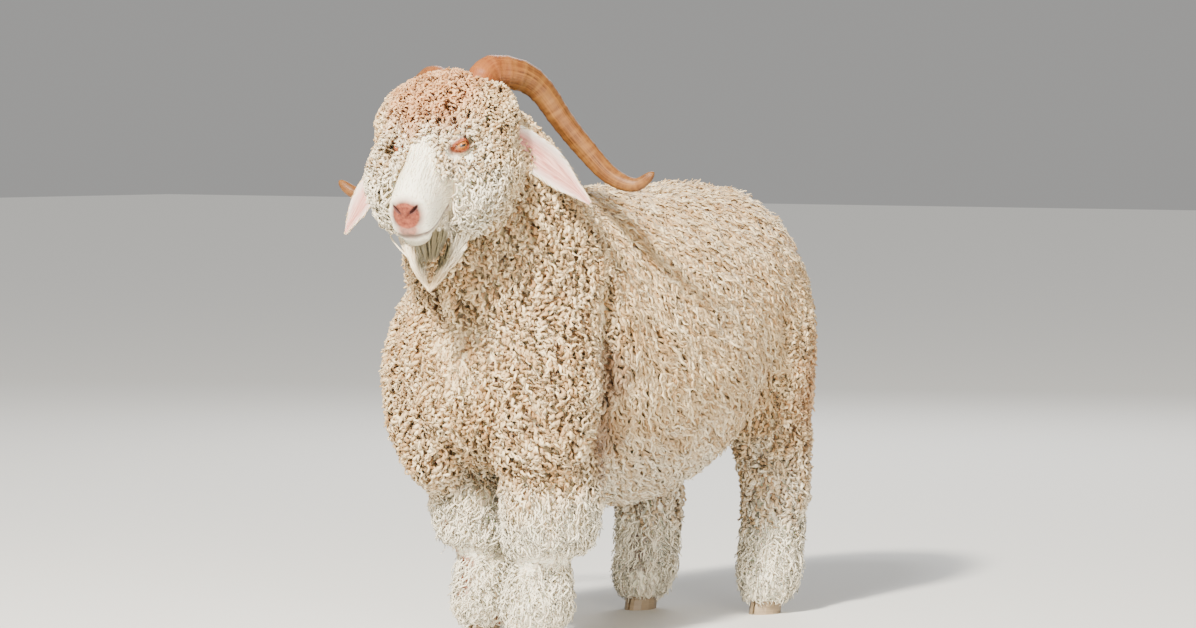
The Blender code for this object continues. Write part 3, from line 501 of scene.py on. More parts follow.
def away_from(points, line):
    """Distance of every point from a line of points, and how far along the line the nearest is."""
    best, share = np.full(len(points), 9.0), np.zeros(len(points))
    line = np.array([list(p) for p in line])
    for i, (start, end) in enumerate(zip(line, line[1:])):
        step = end - start
        t = np.clip((points - start) @ step / (step @ step), 0, 1)
        away = np.linalg.norm(points - start - t[:, None] * step, axis=1)
        nearer = away < best
        best[nearer], share[nearer] = away[nearer], (i + t[nearer]) / (len(line) - 1)
    return best, share


def normals_of(thing):
    return points_of(thing, "normal")


def carve(thing, line, depth, width, fade=True):
    """Moves points inwards by `depth` near a line, or outwards where depth is negative."""
    points = points_of(thing)
    away, share = away_from(points, line)
    ends = np.clip(np.minimum(share, 1 - share) * 6, 0, 1) if fade else 1.0
    push = depth * np.exp(-(away / width) ** 2) * ends
    set_points(thing, points - normals_of(thing) * np.reshape(push, (-1, 1)))


MOUTH = mouth_line()
PHILTRUM = [(0, -0.290, -0.060), (0, -0.292, -0.085), (0, -0.286, MOUTH_HEIGHT)]
LOWER_LID = Vector((0, 0, 0.0275))      # the crease under an eye is this far under the upper one
carve(head_skin, [p + Vector((0, 0, 0.0075)) for p in MOUTH], -0.0024, 0.0060)
carve(head_skin, [p - Vector((0, 0, 0.0070)) for p in MOUTH], -0.0022, 0.0055)
carve(head_skin, MOUTH, 0.0052, 0.0026)
carve(head_skin, PHILTRUM, 0.0026, 0.0020)
for side in (LEFT, RIGHT):
    eye = mirrored(EYE_AT, side)
    corner = eye + mirrored((0.004, -0.0135, -0.0040), side)
    carve(head_skin, [corner, corner + mirrored((-0.004, -0.018, -0.010), side),
                      corner + mirrored((-0.010, -0.036, -0.022), side)], 0.0024, 0.0040)
    crease = [eye + mirrored(offset, side) for offset in
              ((0.010, 0.0160, 0.0020), (0.009, 0.0080, 0.0125), (0.008, -0.0020, 0.0150),
               (0.006, -0.0130, 0.0090))]
    carve(head_skin, crease, 0.0026, 0.0022)
    carve(head_skin, [p - LOWER_LID for p in crease], 0.0016, 0.0030)
    wing = [mirrored(spot, side) for spot in
            ((0.007, -0.282, -0.044), (0.019, -0.276, -0.040), (0.026, -0.264, -0.046),
             (0.027, -0.256, -0.058))]
    carve(head_skin, wing, -0.0022, 0.0045)
    wrinkle = [muzzle_point(along, MOUTH_HEIGHT + rise, side)
               for along, rise in ((0.182, 0.020), (0.176, 0.006), (0.184, -0.010))]
    carve(head_skin, wrinkle, 0.0022, 0.0034)

# %% [markdown]
# ## Eye openings and nostrils
# A goat's lids are an almond that tilts down towards the nose. The eye socket and the almond are cut
# out of the clay with Booleans, so the lids keep a clean thick edge over the eyeball.

# %% Cut the eyes and the nostrils
NOSTRIL_AT, NOSTRIL = Vector((0.0160, -0.2800, -0.0550)), (0.0034, 0.0110, 0.0102)


def look_frame(side):
    """The frame of an eye: +X across the lids towards the nose, +Y up, +Z the way it looks."""
    look = mirrored(EYE_LOOK, side).normalized()
    across = (EYE_ACROSS - look * EYE_ACROSS.dot(look)).normalized()
    return Matrix.Translation(mirrored(EYE_AT, side)) @ Matrix(
        (across, look.cross(across), look)).transposed().to_4x4()


def nostril_frame(side):
    """A nostril is a slit that rises outwards and runs back into the nose."""
    return (Matrix.Translation(mirrored(NOSTRIL_AT, side))
            @ Matrix.Rotation(math.radians(14) * side, 4, "Z")
            @ Matrix.Rotation(math.radians(50) * side, 4, "Y"))


def almond(points):
    shaped = points.copy()
    rise = points[:, 1] * (0.55 + 0.45 * np.abs(points[:, 1]))
    shaped[:, 1] = np.where(rise > 0, rise * 0.92, rise * 0.80)
    return shaped


def cut(thing, cutters):
    for cutter in cutters:
        modify(thing, "BOOLEAN", operation="DIFFERENCE", object=cutter, solver="EXACT")
        bpy.data.objects.remove(cutter)


cutters = []
for side in (LEFT, RIGHT):
    half, tall = EYE_OPENING
    rings = [(0, 0, 0.3 * EYE_RADIUS, half, tall), (0, 0, 2 * EYE_RADIUS, half * 1.25, tall * 1.35)]
    cutters.append(loft("opening", rings, 28, "Z", shape=almond, matrix=look_frame(side)))
    cutters.append(ball("socket", mirrored(EYE_AT, side), (EYE_RADIUS + 0.0003,) * 3))
    cutters.append(ball("nostril", (0, 0, 0), NOSTRIL, nostril_frame(side), 20))
cut(head_skin, cutters)
print("head after the cuts:", len(head_skin.data.polygons), "faces")

# %% [markdown]
# ## Painting where the face is bare
# The nose pad, the lips, the rims of the lids and the inside of the nostrils show skin, and the rest
# of the face has short white hair. Each is marked on the mesh as an attribute, worked out from the
# same lines and centres that shaped it, so that the colours sit exactly on the forms.

# %% Mark nose, lips and lids on the head
def mark(thing, name, values):
    """Stores a number, or a row of three, for every point of a mesh."""
    kind, key = ("FLOAT_VECTOR", "vector") if values.ndim > 1 else ("FLOAT", "value")
    attribute = thing.data.attributes.new(name, kind, "POINT")
    attribute.data.foreach_set(key, values.ravel().astype(np.float32))


def step_down(values, start, end):
    return np.clip((end - values) / (end - start), 0, 1)


def within(points, frame_of):
    """Points as seen in a frame."""
    turn = np.array(frame_of.inverted())
    return points @ turn[:3, :3].T + turn[:3, 3]


points = points_of(head_skin)
mirror = points.copy()
mirror[:, 0] = np.abs(mirror[:, 0])
pad = np.linalg.norm((points - (0, -0.274, -0.066)) / (0.0285, 0.024, 0.0300), axis=1)
lip = np.linalg.norm((points - (0, -0.274, -0.090)) / (0.0240, 0.024, 0.0240), axis=1)
mark(head_skin, "nose", np.maximum(step_down(pad, 0.78, 1.22), 0.9 * step_down(lip, 0.60, 1.20)))
# The band along the mouth line is painted shade, the shade in the mouth's crease.
mouth_away, _ = away_from(points, MOUTH)
mark(head_skin, "mouth", step_down(mouth_away, 0.0014, 0.0075))
eye_away = np.linalg.norm(mirror - EYE_AT, axis=1)
in_lids = within(mirror, look_frame(LEFT))
rim = np.linalg.norm(in_lids[:, :2] / EYE_OPENING, axis=1)
lids = step_down(rim, 1.35, 2.30) * step_down(eye_away, 0.023, 0.029) * (in_lids[:, 2] > 0)
mark(head_skin, "lid", lids)
in_nostril = np.linalg.norm(within(mirror, nostril_frame(LEFT)) / NOSTRIL, axis=1)
mark(head_skin, "nostril", step_down(in_nostril, 1.02, 1.30))
mark(head_skin, "face", np.ones(len(points)))
head_skin.data.transform(HEAD_FRAME)

# %% [markdown]
# ## One skin
# The wool of the head grows from a rounder mass than the skull, so the dense part of the forelock,
# cheeks and throat is added under the curls. Body and head are then fused into one closed skin.

# %% Fuse the body and the head
CURLS = (   # centre and half sizes of the wool of the head, in the head's frame
    ((0.000, -0.026, -0.018), (0.102, 0.094, 0.060)),
    ((0.050, -0.082, -0.092), (0.060, 0.098, 0.076)),
    ((-0.050, -0.082, -0.092), (0.060, 0.098, 0.076)),
    ((0.000, -0.050, -0.130), (0.078, 0.084, 0.053)),
)
CURL_CORE = -0.005      # how far the skin lies inside the dense wool of the head
BODY_VOXEL = 0.009


def curl_balls(grow):
    return [ball("curls", centre, [half + grow for half in halves], HEAD_FRAME)
            for centre, halves in CURLS]


bare_parts = [part for _, part in body_parts(lambda coat: DEPTH[coat])]
body = joined("body", bare_parts + curl_balls(CURL_CORE))
modify(body, "REMESH", mode="VOXEL", voxel_size=BODY_VOXEL)
modify(body, "SMOOTH", factor=0.5, iterations=6)
skin = head_skin
skin.name = "skin"
modify(skin, "BOOLEAN", operation="UNION", object=body, solver="EXACT")
bpy.data.objects.remove(body)
print("skin:", len(skin.data.polygons), "faces")

# %% [markdown]
# ## Markings
# Skin and wool share one set of markings, or the skin would show through in the wrong colour. The wool
# is cream with beige parts, the forelock is tinted orange by the soil and the boots are whiter. The
# chin and lower lip are dark olive, a grass stain with painted shade. Brown balls behind the cheek, the
# jaw and the shoulder and under the elbow are painted shade. Each marking is a soft ball in space with
# a ragged edge.

# %% Helpers for materials
NODE_STEP = 220     # the nodes of a material stand in one row under its shader


def node(tree, kind, *feeds, settings=None, **inputs):
    """Adds a node. Its inputs, by number or by name, are values or outputs of other nodes."""
    made = tree.nodes.new("ShaderNode" + kind)
    made.location = (NODE_STEP * (len(tree.nodes) - 20), -500)
    for key, value in (settings or {}).items():
        setattr(made, key, value)
    fill(tree, made.inputs, {**dict(enumerate(feeds)), **inputs})
    return made


def maths(tree, operation, *feeds, kind="Math", output="Value"):
    return node(tree, kind, *feeds, settings={"operation": operation}).outputs[output]


def noise_on(tree, vector, scale, detail, roughness=0.5, stretch=None):
    """A noise texture on coordinates, which may be stretched first."""
    if stretch:
        vector = node(tree, "Mapping", vector, Scale=stretch).outputs["Vector"]
    return node(tree, "TexNoise", vector, Scale=scale, Detail=detail,
                Roughness=roughness).outputs["Fac"]


def ramped(tree, value, low, high, start=0.0, end=1.0, curve="LINEAR"):
    """A value that goes from `start` to `end` while the given one goes from `low` to `high`."""
    return node(tree, "MapRange", value, low, high, start, end,
                settings={"interpolation_type": curve}).outputs["Result"]


def mix_colours(tree, factor, first, second, kind="MIX"):
    return node(tree, "Mix", settings={"data_type": "RGBA", "blend_type": kind},
                Factor=factor, A=first, B=second).outputs["Result"]


# %% A node group with the markings
CREAM, BEIGE, WHITE = (0.98, 0.83, 0.56), (0.86, 0.66, 0.37), (0.99, 0.94, 0.77)
# The olive of the chin is a grass stain darkened with painted shade.
SOIL, GRASS_STAIN_AND_SHADE, TEAR = (0.72, 0.36, 0.15), (0.17, 0.14, 0.055), (0.30, 0.27, 0.23)
# The two browns are painted shade, for the hollows behind the cheek, the jaw and the shoulder and under
# the elbow.
SHADE, HOLLOW_SHADE = (0.42, 0.29, 0.17), (0.36, 0.22, 0.13)


def in_head(point):
    return HEAD_FRAME @ Vector(point) + SHIFT


MARKINGS = (    # name, centre, radius, softness, colour, strength
    ("muzzle and cheeks", in_head((0, -0.200, -0.060)), 0.115, 0.06, WHITE, 0.95),
    ("boots", Vector((0, 0, -0.62)) + SHIFT, 0.90, 0.14, WHITE, 1.0),
    ("forelock", in_head((-0.015, -0.045, 0.085)), 0.074, 0.06, SOIL, 0.80),
    # Chin and lower lip: a grass stain with the shade under the mouth painted in.
    ("chin", in_head((0.0, -0.214, -0.160)), 0.039, 0.010, GRASS_STAIN_AND_SHADE, 0.92),
    ("lower lip", in_head((0.0, -0.254, -0.134)), 0.020, 0.008, GRASS_STAIN_AND_SHADE, 0.55),
    # The next four balls are painted shade in the hollows behind the cheek, the jaw and the shoulder
    # and under the elbow.
    ("behind the cheek", in_head((0.082, -0.012, -0.080)), 0.020, 0.030, SHADE, 0.60),
    ("behind the jaw", in_head((0.072, -0.030, -0.140)), 0.022, 0.030, SHADE, 0.50),
    ("behind the shoulder", Vector((0.180, -0.248, 0.470)) + SHIFT, 0.030, 0.05, HOLLOW_SHADE, 0.70),
    ("under the elbow", Vector((0.170, -0.240, 0.350)) + SHIFT, 0.034, 0.05, HOLLOW_SHADE, 0.75),
    ("hind left knee", Vector((0.150, 0.400, 0.420)) + SHIFT, 0.060, 0.08, SOIL, 0.40),
    ("tear stain", in_head((0.046, -0.160, -0.038)), 0.006, 0.010, TEAR, 0.6),
)


def build_markings():
    group = bpy.data.node_groups.new("goat markings", "ShaderNodeTree")
    group.interface.new_socket("Colour", in_out="OUTPUT", socket_type="NodeSocketColor")
    where = node(group, "TexCoord").outputs["Object"]
    beige = ramped(group, noise_on(group, where, 8.0, 6.0, 0.72), 0.36, 0.66)
    colour = mix_colours(group, beige, CREAM, BEIGE)
    ragged = noise_on(group, where, 26.0, 3.0)
    for _, centre, radius, soft, tint, strength in MARKINGS:
        away = maths(group, "DISTANCE", where, centre, kind="VectorMath")
        torn = maths(group, "MULTIPLY_ADD", ragged, soft * 1.4, away)
        inside = ramped(group, torn, radius + 0.7 * soft, radius + 1.7 * soft, strength, 0.0,
                        "SMOOTHSTEP")
        colour = mix_colours(group, inside, colour, tint)
    fill(group, group.nodes.new("NodeGroupOutput").inputs, {"Colour": colour})
    return group


markings = build_markings()
print(len(MARKINGS), "markings")

# %% [markdown]
# ## The finish of the skin
# Under the wool the skin is the colour of the wool in shade. On the face it shows short white hair,
# which lies so flat that a bump of fine streaks is enough. The nose is a blotchy dark red and the lids
# are red-brown. Along the mouth a greyer brown band is painted shade in its crease.

# %% Make the skin's material
def read_attribute(tree, name, output="Fac"):
    return node(tree, "Attribute", settings={"attribute_name": name}).outputs[output]


def marks_in(tree):
    return node(tree, "Group", settings={"node_tree": markings}).outputs["Colour"]


def paint(tree, shader, colour, grain, strength, depth):
    """Gives a shader its colour, and a bump `depth` high from a grain."""
    bump = node(tree, "Bump", Strength=strength, Distance=depth, Height=grain)
    fill(tree, shader.inputs, {"Base Color": colour, "Normal": bump.outputs["Normal"]})


def skin_material():
    made, tree, shader = new_material("goat skin", Roughness=0.65, Specular_IOR_Level=0.3,
                                      Subsurface_Weight=0.12,
                                      Subsurface_Radius=(0.006, 0.003, 0.002))
    marks = marks_in(tree)
    where = node(tree, "TexCoord").outputs["Object"]
    hair = noise_on(tree, where, 1.0, 3.0, stretch=(900, 900, 160))
    under_wool = mix_colours(tree, 1.0, marks, (0.84, 0.68, 0.50), "MULTIPLY")
    colour = mix_colours(tree, read_attribute(tree, "face"), under_wool, marks)
    damp = ramped(tree, noise_on(tree, where, 130.0, 5.0, 0.7), 0.35, 0.65)
    pad = mix_colours(tree, damp, (0.105, 0.020, 0.010), (0.32, 0.085, 0.045))
    # The mouth's greyer brown is painted shade along its crease.
    for name, tint in (("nose", pad), ("lid", (0.25, 0.062, 0.024)),
                       ("mouth", (0.20, 0.14, 0.11)), ("nostril", (0.09, 0.03, 0.025))):
        colour = mix_colours(tree, read_attribute(tree, name), colour, tint)
    paint(tree, shader, colour, hair, 0.6, 0.0008)
    return made


FLESH = ["head", "neck", "torso", "tail", "foreleg_left_upper", "foreleg_left_lower",
         "foreleg_right_upper", "foreleg_right_lower", "hind_leg_left_upper", "hind_leg_left_lower",
         "hind_leg_right_upper", "hind_leg_right_lower"]


def keep(piece, slot, *nodes):
    """Moves a finished piece into the frame and fastens it to the goat."""
    piece.data.transform(Matrix.Translation(SHIFT))
    only(piece)
    bpy.ops.object.shade_smooth()
    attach(piece, "root")
    if nodes:
        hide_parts(*nodes)


# %% [markdown]
# ## Eyes
# A goat's eye is orange-brown with a level slot for a pupil. The ball is a sphere with a slight bulge
# over the iris. Its colours are drawn by how far a point is from the way the eye looks.

# %% Model and paint the eyes
IRIS, PUPIL = 0.0098, (0.0062, 0.0021)
BULGE = 0.05


def eye_material():
    made, tree, shader = new_material("eye", Roughness=0.06, Coat_Weight=1.0)
    spot = read_attribute(tree, "looking", "Vector")
    iris = mix_colours(tree, noise_on(tree, spot, 420.0, 2.0), (0.24, 0.07, 0.014), (0.54, 0.20, 0.04))
    edge = ramped(tree, maths(tree, "LENGTH", spot, kind="VectorMath"), IRIS * 0.92, IRIS * 1.05)
    colour = mix_colours(tree, edge, iris, (0.30, 0.16, 0.10))
    in_slot = maths(tree, "DIVIDE", spot, (*PUPIL, 1), kind="VectorMath", output="Vector")
    slot_edge = ramped(tree, maths(tree, "LENGTH", in_slot, kind="VectorMath"), 0.90, 1.10)
    colour = mix_colours(tree, slot_edge, (0.012, 0.010, 0.010), colour)
    fill(tree, shader.inputs, {"Base Color": colour})
    return made


eye_finish = eye_material()
for side, word in SIDE_NAMES.items():
    eyeball = ball("eyeball_" + word, (0, 0, 0), (EYE_RADIUS,) * 3, segments=48)
    points = points_of(eyeball)
    ahead = points[:, 2] / EYE_RADIUS
    bulge = 1 + BULGE * np.clip((ahead - 0.70) / 0.30, 0, 1) ** 1.5
    set_points(eyeball, points * bulge[:, None])
    mark(eyeball, "looking", np.where((ahead > 0)[:, None], points * (1, 1, 0), 1.0))
    eyeball.data.transform(HEAD_FRAME @ look_frame(side))
    eyeball.data.materials.append(eye_finish)
    keep(eyeball, "eye", "eye_" + word)

# %% [markdown]
# ## Horns
# A buck's horns rise from the poll, sweep back and out and turn up at their tips. Each is modelled
# straight first, ring on ring with the ridges of its yearly growth, then bent along its path with a
# Curve modifier. A long straight mesh is easy to ridge evenly, and the bend comes for free.

# %% Model the horns
HORN = (    # left, back and up from the poll in the level crown, and the radius there
    ((0.036, -0.005, -0.030), 0.029),
    ((0.041, 0.020, 0.020), 0.032),
    ((0.050, 0.050, 0.056), 0.031),
    ((0.086, 0.090, 0.054), 0.027),
    ((0.113, 0.120, 0.029), 0.023),
    ((0.144, 0.145, -0.024), 0.020),
    ((0.178, 0.165, -0.072), 0.0185),
    ((0.219, 0.178, -0.118), 0.0160),
    ((0.264, 0.182, -0.135), 0.0120),
    ((0.300, 0.181, -0.113), 0.0078),
)
HORN_DROP = {LEFT: 0.0, RIGHT: 0.018}   # how much lower a horn is set than the rows say
HORN_FLAT = 0.84
HORN_RINGS, HORN_SIDES, GROWTH_RINGS = 150, 32, 22
RIDGE, FLUTE = 0.0014, 0.022    # how far a growth ring stands out, and the share of a long ripple
TIP_FROM, TIP_RADIUS = 0.96, 0.0008     # from this share of its length a horn rounds off


def horn_path(side):
    rows = smooth_rows([(*centre, radius) for centre, radius in HORN], 10)
    drop = Vector((0, 0, HORN_DROP[side]))
    return [(CROWN @ (mirrored(row[:3], side) - drop), row[3]) for row in rows]


def path_length(path):
    return np.concatenate([[0], np.cumsum([(q[0] - p[0]).length for p, q in zip(path, path[1:])])])


def bend_along(thing, path):
    """Bends a mesh that runs along +X onto a path of points."""
    bpy.ops.object.select_all(action="DESELECT")
    bpy.ops.curve.primitive_nurbs_path_add()
    guide = bpy.context.object
    guide.data.splines.clear()
    spline = guide.data.splines.new("POLY")
    spline.points.add(len(path) - 1)
    for point, (place, _) in zip(spline.points, path):
        point.co = (*place, 1)
    guide.data.dimensions = "3D"
    guide.data.twist_mode = "MINIMUM"
    modify(thing, "CURVE", object=guide, deform_axis="POS_X")
    bpy.data.objects.remove(guide)


def horn(side):
    path = horn_path(side)
    lengths = path_length(path)
    full = lengths[-1]
    rings = []
    for k in range(HORN_RINGS):
        along = full * k / (HORN_RINGS - 1)
        share = along / full
        radius = np.interp(along, lengths, [radius for _, radius in path])
        grown = math.sin(2 * math.pi * (GROWTH_RINGS * share + 0.35 * math.sin(9 * share)))
        radius += RIDGE * max(0.0, 1 - share) ** 0.7 * (max(0.0, grown) ** 1.5 - 0.3)
        rounding = max(0.0, share - TIP_FROM) / (1 - TIP_FROM)
        radius = max(TIP_RADIUS, radius * math.sqrt(max(0.0, 1 - rounding ** 2)))
        rings.append((along, 0, 0, radius * HORN_FLAT, radius))
    made = loft("horn_" + SIDE_NAMES[side] + "_ringed", rings, HORN_SIDES, "X")
    points = points_of(made)
    along, around = points[:, 0] / full, np.arctan2(points[:, 2], points[:, 1])
    points[:, 1:] *= (1 + FLUTE * np.sin(5 * around + 14 * along))[:, None]
    set_points(made, points)
    mark(made, "grain", np.stack([along, np.cos(around) / 2, np.sin(around) / 2], axis=1))
    bend_along(made, path)
    print(made.name, round(full, 3), "m long")
    return made


# %% [markdown]
# ## The finish of the horns
# Horn is brown with darker streaks along it, paler bands across it and a rosy orange root. The grain
# follows the horn, so it is read from an attribute that was stored while the horn was still straight.

# %% Make the horn material
def horn_material():
    made, tree, shader = new_material("horn", Roughness=0.45, Specular_IOR_Level=0.3)
    grain = read_attribute(tree, "grain", "Vector")
    streaks = noise_on(tree, grain, 1.0, 6.0, 0.65, (5, 16, 16))
    ramp = node(tree, "ValToRGB", streaks)
    stops = ramp.color_ramp.elements
    stops[0].position, stops[1].position = 0.30, 0.72
    stops[0].color, stops[1].color = (0.035, 0.011, 0.003, 1), (0.25, 0.105, 0.024, 1)
    stops.new(0.5).color = (0.135, 0.048, 0.011, 1)
    bands = ramped(tree, noise_on(tree, grain, 1.0, 3.0, stretch=(46, 1.2, 1.2)), 0.42, 0.62, 0.0, 0.38)
    colour = mix_colours(tree, bands, ramp.outputs["Color"], (0.29, 0.135, 0.034))
    along = node(tree, "SeparateXYZ", grain).outputs["X"]
    colour = mix_colours(tree, ramped(tree, along, 0.10, 0.34, 0.62, 0.0), colour, (0.32, 0.082, 0.022))
    paint(tree, shader, colour, streaks, 0.5, 0.0012)
    return made


horn_finish = horn_material()
for side, word in SIDE_NAMES.items():
    piece = horn(side)
    piece.data.materials.append(horn_finish)
    keep(piece, "horn", "horn_" + word)

# %% [markdown]
# ## Ears
# An Angora's ears are long hanging leaves, rolled into a cup at the root and nearly flat at the tip.
# A flat grid is shaped into the leaf point by point, thickened with Solidify and rounded with
# Subdivision Surface. Ridges run along the inside, as the folds of gristle do. Its edge waves a
# little, and the two ears end more or less bluntly.

# %% Model the ears
EAR_LENGTH, EAR_HALF_WIDTH, EAR_THICK, EAR_CUP = 0.185, 0.031, 0.0034, 0.55
EAR_ROOT = {LEFT: (0.072, 0.016, -0.040), RIGHT: (-0.072, 0.010, -0.045)}
EAR_HEADING = {LEFT: (0.72, 0.45, -0.42), RIGHT: (-0.62, -0.02, -0.60)}
EAR_OPENS = {LEFT: (0.45, -1.0, 0.10), RIGHT: (-0.35, -1.0, 0.25)}
EAR_DROOP = 0.045
EAR_EDGE_WAVE = 0.0022
EAR_BLUNT = {LEFT: 0.35, RIGHT: 0.75}
EAR_DEEP = (0.42, 0.11, 0.09)


def ear_place(side, t, s):
    """A point of the ear's middle sheet at share t of its length and s from -1 to 1 across it."""
    heading, opens = Vector(EAR_HEADING[side]).normalized(), Vector(EAR_OPENS[side])
    across = heading.cross(opens).normalized()
    opens = across.cross(heading).normalized()
    swell = math.sin(math.pi * min(1.0, 0.12 + 1.02 * t)) ** 0.8
    pointed = (0.36 + 0.64 * swell) * (1 - 0.75 * t ** 6)
    blunt = (0.50 + 0.35 * t) * (1 - 0.8 * t ** 12)
    half = EAR_HALF_WIDTH * (pointed + (blunt - pointed) * EAR_BLUNT[side])
    cup = EAR_CUP * (1.15 - 0.85 * t)
    bend = half / max(0.4, 1.3 * cup)
    line = Vector(EAR_ROOT[side]) + heading * (EAR_LENGTH * t)
    line.z -= EAR_DROOP * t * t
    roll = s * math.pi / 2 * cup
    ridge = 0.0020 * math.cos(9 * s) * math.exp(-(2 * s) ** 2) * (1 - t)
    wave = EAR_EDGE_WAVE * s ** 4 * math.sin(16 * t + s)
    out = line + across * (bend * math.sin(roll))
    return CROWN @ (out + opens * (1.4 * bend * (1 - math.cos(roll)) + ridge + wave)), opens


def ear(side):
    bpy.ops.object.select_all(action="DESELECT")
    bpy.ops.mesh.primitive_grid_add(x_subdivisions=18, y_subdivisions=40, size=2)
    made = bpy.context.object
    made.name = "ear_" + SIDE_NAMES[side] + "_leaf"
    flat = points_of(made)
    set_points(made, np.array([ear_place(side, (y + 1) / 2, x)[0] for x, y, _ in flat]))
    opens = np.array(CROWN.to_3x3() @ ear_place(side, 0.5, 0)[1])
    if normals_of(made).mean(axis=0) @ opens < 0:
        edit(made, bpy.ops.mesh.flip_normals)
    mark(made, "leaf", flat)
    mark(made, "inside", np.clip(1.15 - 1.3 * flat[:, 0] ** 2, 0, 1))
    mark(made, "along", (flat[:, 1] + 1) / 2)
    modify(made, "SOLIDIFY", thickness=EAR_THICK * 0.8, offset=-1.0)
    modify(made, "SUBSURF", levels=1, render_levels=1)
    mark(made, "facing", np.clip(normals_of(made) @ opens * 2.2, 0, 1))
    return made


def ear_material():
    made, tree, shader = new_material("ear", Roughness=0.6, Subsurface_Weight=0.25,
                                      Subsurface_Radius=(0.012, 0.004, 0.003))
    in_cup = maths(tree, "MULTIPLY", read_attribute(tree, "facing"), read_attribute(tree, "inside"))
    veins = noise_on(tree, read_attribute(tree, "leaf", "Vector"), 1.0, 7.0, 0.70, (7, 2, 7))
    along = read_attribute(tree, "along")
    pink = mix_colours(tree, ramped(tree, veins, 0.38, 0.62), EAR_DEEP, (0.82, 0.50, 0.41))
    pink = mix_colours(tree, ramped(tree, along, 0.05, 0.55, 0.75, 0.0), pink, EAR_DEEP)
    bare_tip = ramped(tree, along, 0.55, 1.0, 0.0, 0.7)
    hair = mix_colours(tree, bare_tip, (0.88, 0.83, 0.76), (0.82, 0.54, 0.44))
    paint(tree, shader, mix_colours(tree, in_cup, hair, pink), veins, 0.35, 0.001)
    return made


ear_finish = ear_material()
ears = {}
for side, word in SIDE_NAMES.items():
    ears[side] = ear(side)
    ears[side].data.materials.append(ear_finish)

# %% [markdown]
# ## Hooves
# The frame's own hooves have the right shape, two toes with a cleft, so they stay and get a better
# finish: horn brown with fine growth lines all round.

# %% Finish the hooves
def hoof_material():
    made, tree, shader = new_material("hoof", Roughness=0.5)
    where = node(tree, "TexCoord").outputs["Object"]
    lines = noise_on(tree, where, 1.0, 3.0, stretch=(14, 14, 260))
    colour = mix_colours(tree, lines, (0.16, 0.11, 0.07), (0.46, 0.34, 0.20))
    paint(tree, shader, colour, lines, 0.4, 0.001)
    return made


hoof_finish = hoof_material()
for foot in FEET:
    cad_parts["hoof_" + foot].data.materials.clear()
    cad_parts["hoof_" + foot].data.materials.append(hoof_finish)

# %% [markdown]
# ## Where the wool grows
# Roots are strewn over a guide surface that lies just under the tips of the fleece, and each root
# keeps its distance from the others, so that no patch is bald and none is crowded. The draw is
# seeded, so the fleece is the same every time. Soft noise swells the guide into lumps of fleece.
# Behind each shoulder a crease is pressed into it, where the wool of the shoulder parts from that of
# the flank, and nothing is rooted at its bottom. A waist is pressed round each foreleg, where the
# sleeve of wool ends over the boot.

# %% The guide surface and its parts
UNDER_TIPS = 0.009
CURL_GUIDE = 0.021      # how far the wool of the head stands out of its dense part
SKULL_GUIDE = 0.005
GUIDE_VOXEL = 0.012
CREASE = ((0.195, -0.250, 0.650), (0.205, -0.252, 0.540), (0.205, -0.250, 0.420),
          (0.195, -0.235, 0.310))
CREASE_DEPTH, CREASE_WIDTH, CREASE_BARE = 0.038, 0.021, 0.010
WAIST_HEIGHT, WAIST_OUT, WAIST_HALF, WAIST_DEPTH, WAIST_WIDTH = 0.146, 0.008, 0.066, 0.020, 0.017
LUMP_SIZE, LUMP_HEIGHT = 0.040, 0.0045
guide_parts = body_parts(lambda coat: UNDER_TIPS)
guide_parts += [("head", piece) for piece in curl_balls(CURL_GUIDE)]
guide_parts.append(("head", head_loft(SKULL_GUIDE, HEAD_FRAME)))


def corners_of(thing):
    """The numbers of the three points of every triangle of a mesh."""
    thing.data.calc_loop_triangles()
    return np.array([tuple(t.vertices) for t in thing.data.loop_triangles])


def tree_of(thing):
    """The nearest-point finder of a mesh that has no modifiers."""
    return BVHTree.FromPolygons(points_of(thing).tolist(), corners_of(thing).tolist())


part_trees = [(coat, tree_of(part)) for coat, part in guide_parts]
guide = joined("guide", [part for _, part in guide_parts])
modify(guide, "REMESH", mode="VOXEL", voxel_size=GUIDE_VOXEL)
modify(guide, "SMOOTH", factor=0.5, iterations=4)
lumps = np.array([noise.noise(Vector(point) / LUMP_SIZE) for point in points_of(guide)])
set_points(guide, points_of(guide) + normals_of(guide) * (LUMP_HEIGHT * lumps)[:, None])
for side in (LEFT, RIGHT):
    carve(guide, [mirrored(p, side) for p in CREASE], CREASE_DEPTH, CREASE_WIDTH)
    left, back = FEET["fore_" + SIDE_NAMES[side]]
    waist = [(left + WAIST_OUT * side + WAIST_HALF * math.cos(turn),
              back + WAIST_HALF * math.sin(turn), WAIST_HEIGHT)
             for turn in np.linspace(0, 2 * math.pi, 17)]
    carve(guide, waist, WAIST_DEPTH, WAIST_WIDTH, fade=False)
modify(guide, "TRIANGULATE")
guide_tree = tree_of(guide)
skin_tree = tree_of(skin)
print("guide:", len(guide.data.polygons), "triangles")

# %% [markdown]
# ## An unwrap for the locks
# When the model is exported, every lock takes its colours from one tiny patch of an image. The patch
# lies where the lock is rooted on an unwrap of the body, so neighbouring locks share the colours of
# the same place. A coarse copy of the guide is unwrapped for that, because it is quick.

# %% Unwrap a coarse body
PATCH = 0.003
unwrapped = copy_of(guide, "unwrapped")
modify(unwrapped, "DECIMATE", ratio=0.12)
edit(unwrapped, bpy.ops.uv.smart_project, angle_limit=math.radians(66), island_margin=0.01)
corner_uv = np.empty(len(unwrapped.data.loops) * 2)
unwrapped.data.uv_layers.active.data.foreach_get("uv", corner_uv)
corner_uv = corner_uv.reshape(-1, 2)
unwrapped_faces = [[tuple(unwrapped.data.vertices[i].co) for i in face.vertices]
                   for face in unwrapped.data.polygons]
unwrapped_loops = [face.loop_start for face in unwrapped.data.polygons]
unwrapped_tree = BVHTree.FromPolygons([v.co.copy() for v in unwrapped.data.vertices],
                                      [tuple(face.vertices) for face in unwrapped.data.polygons])


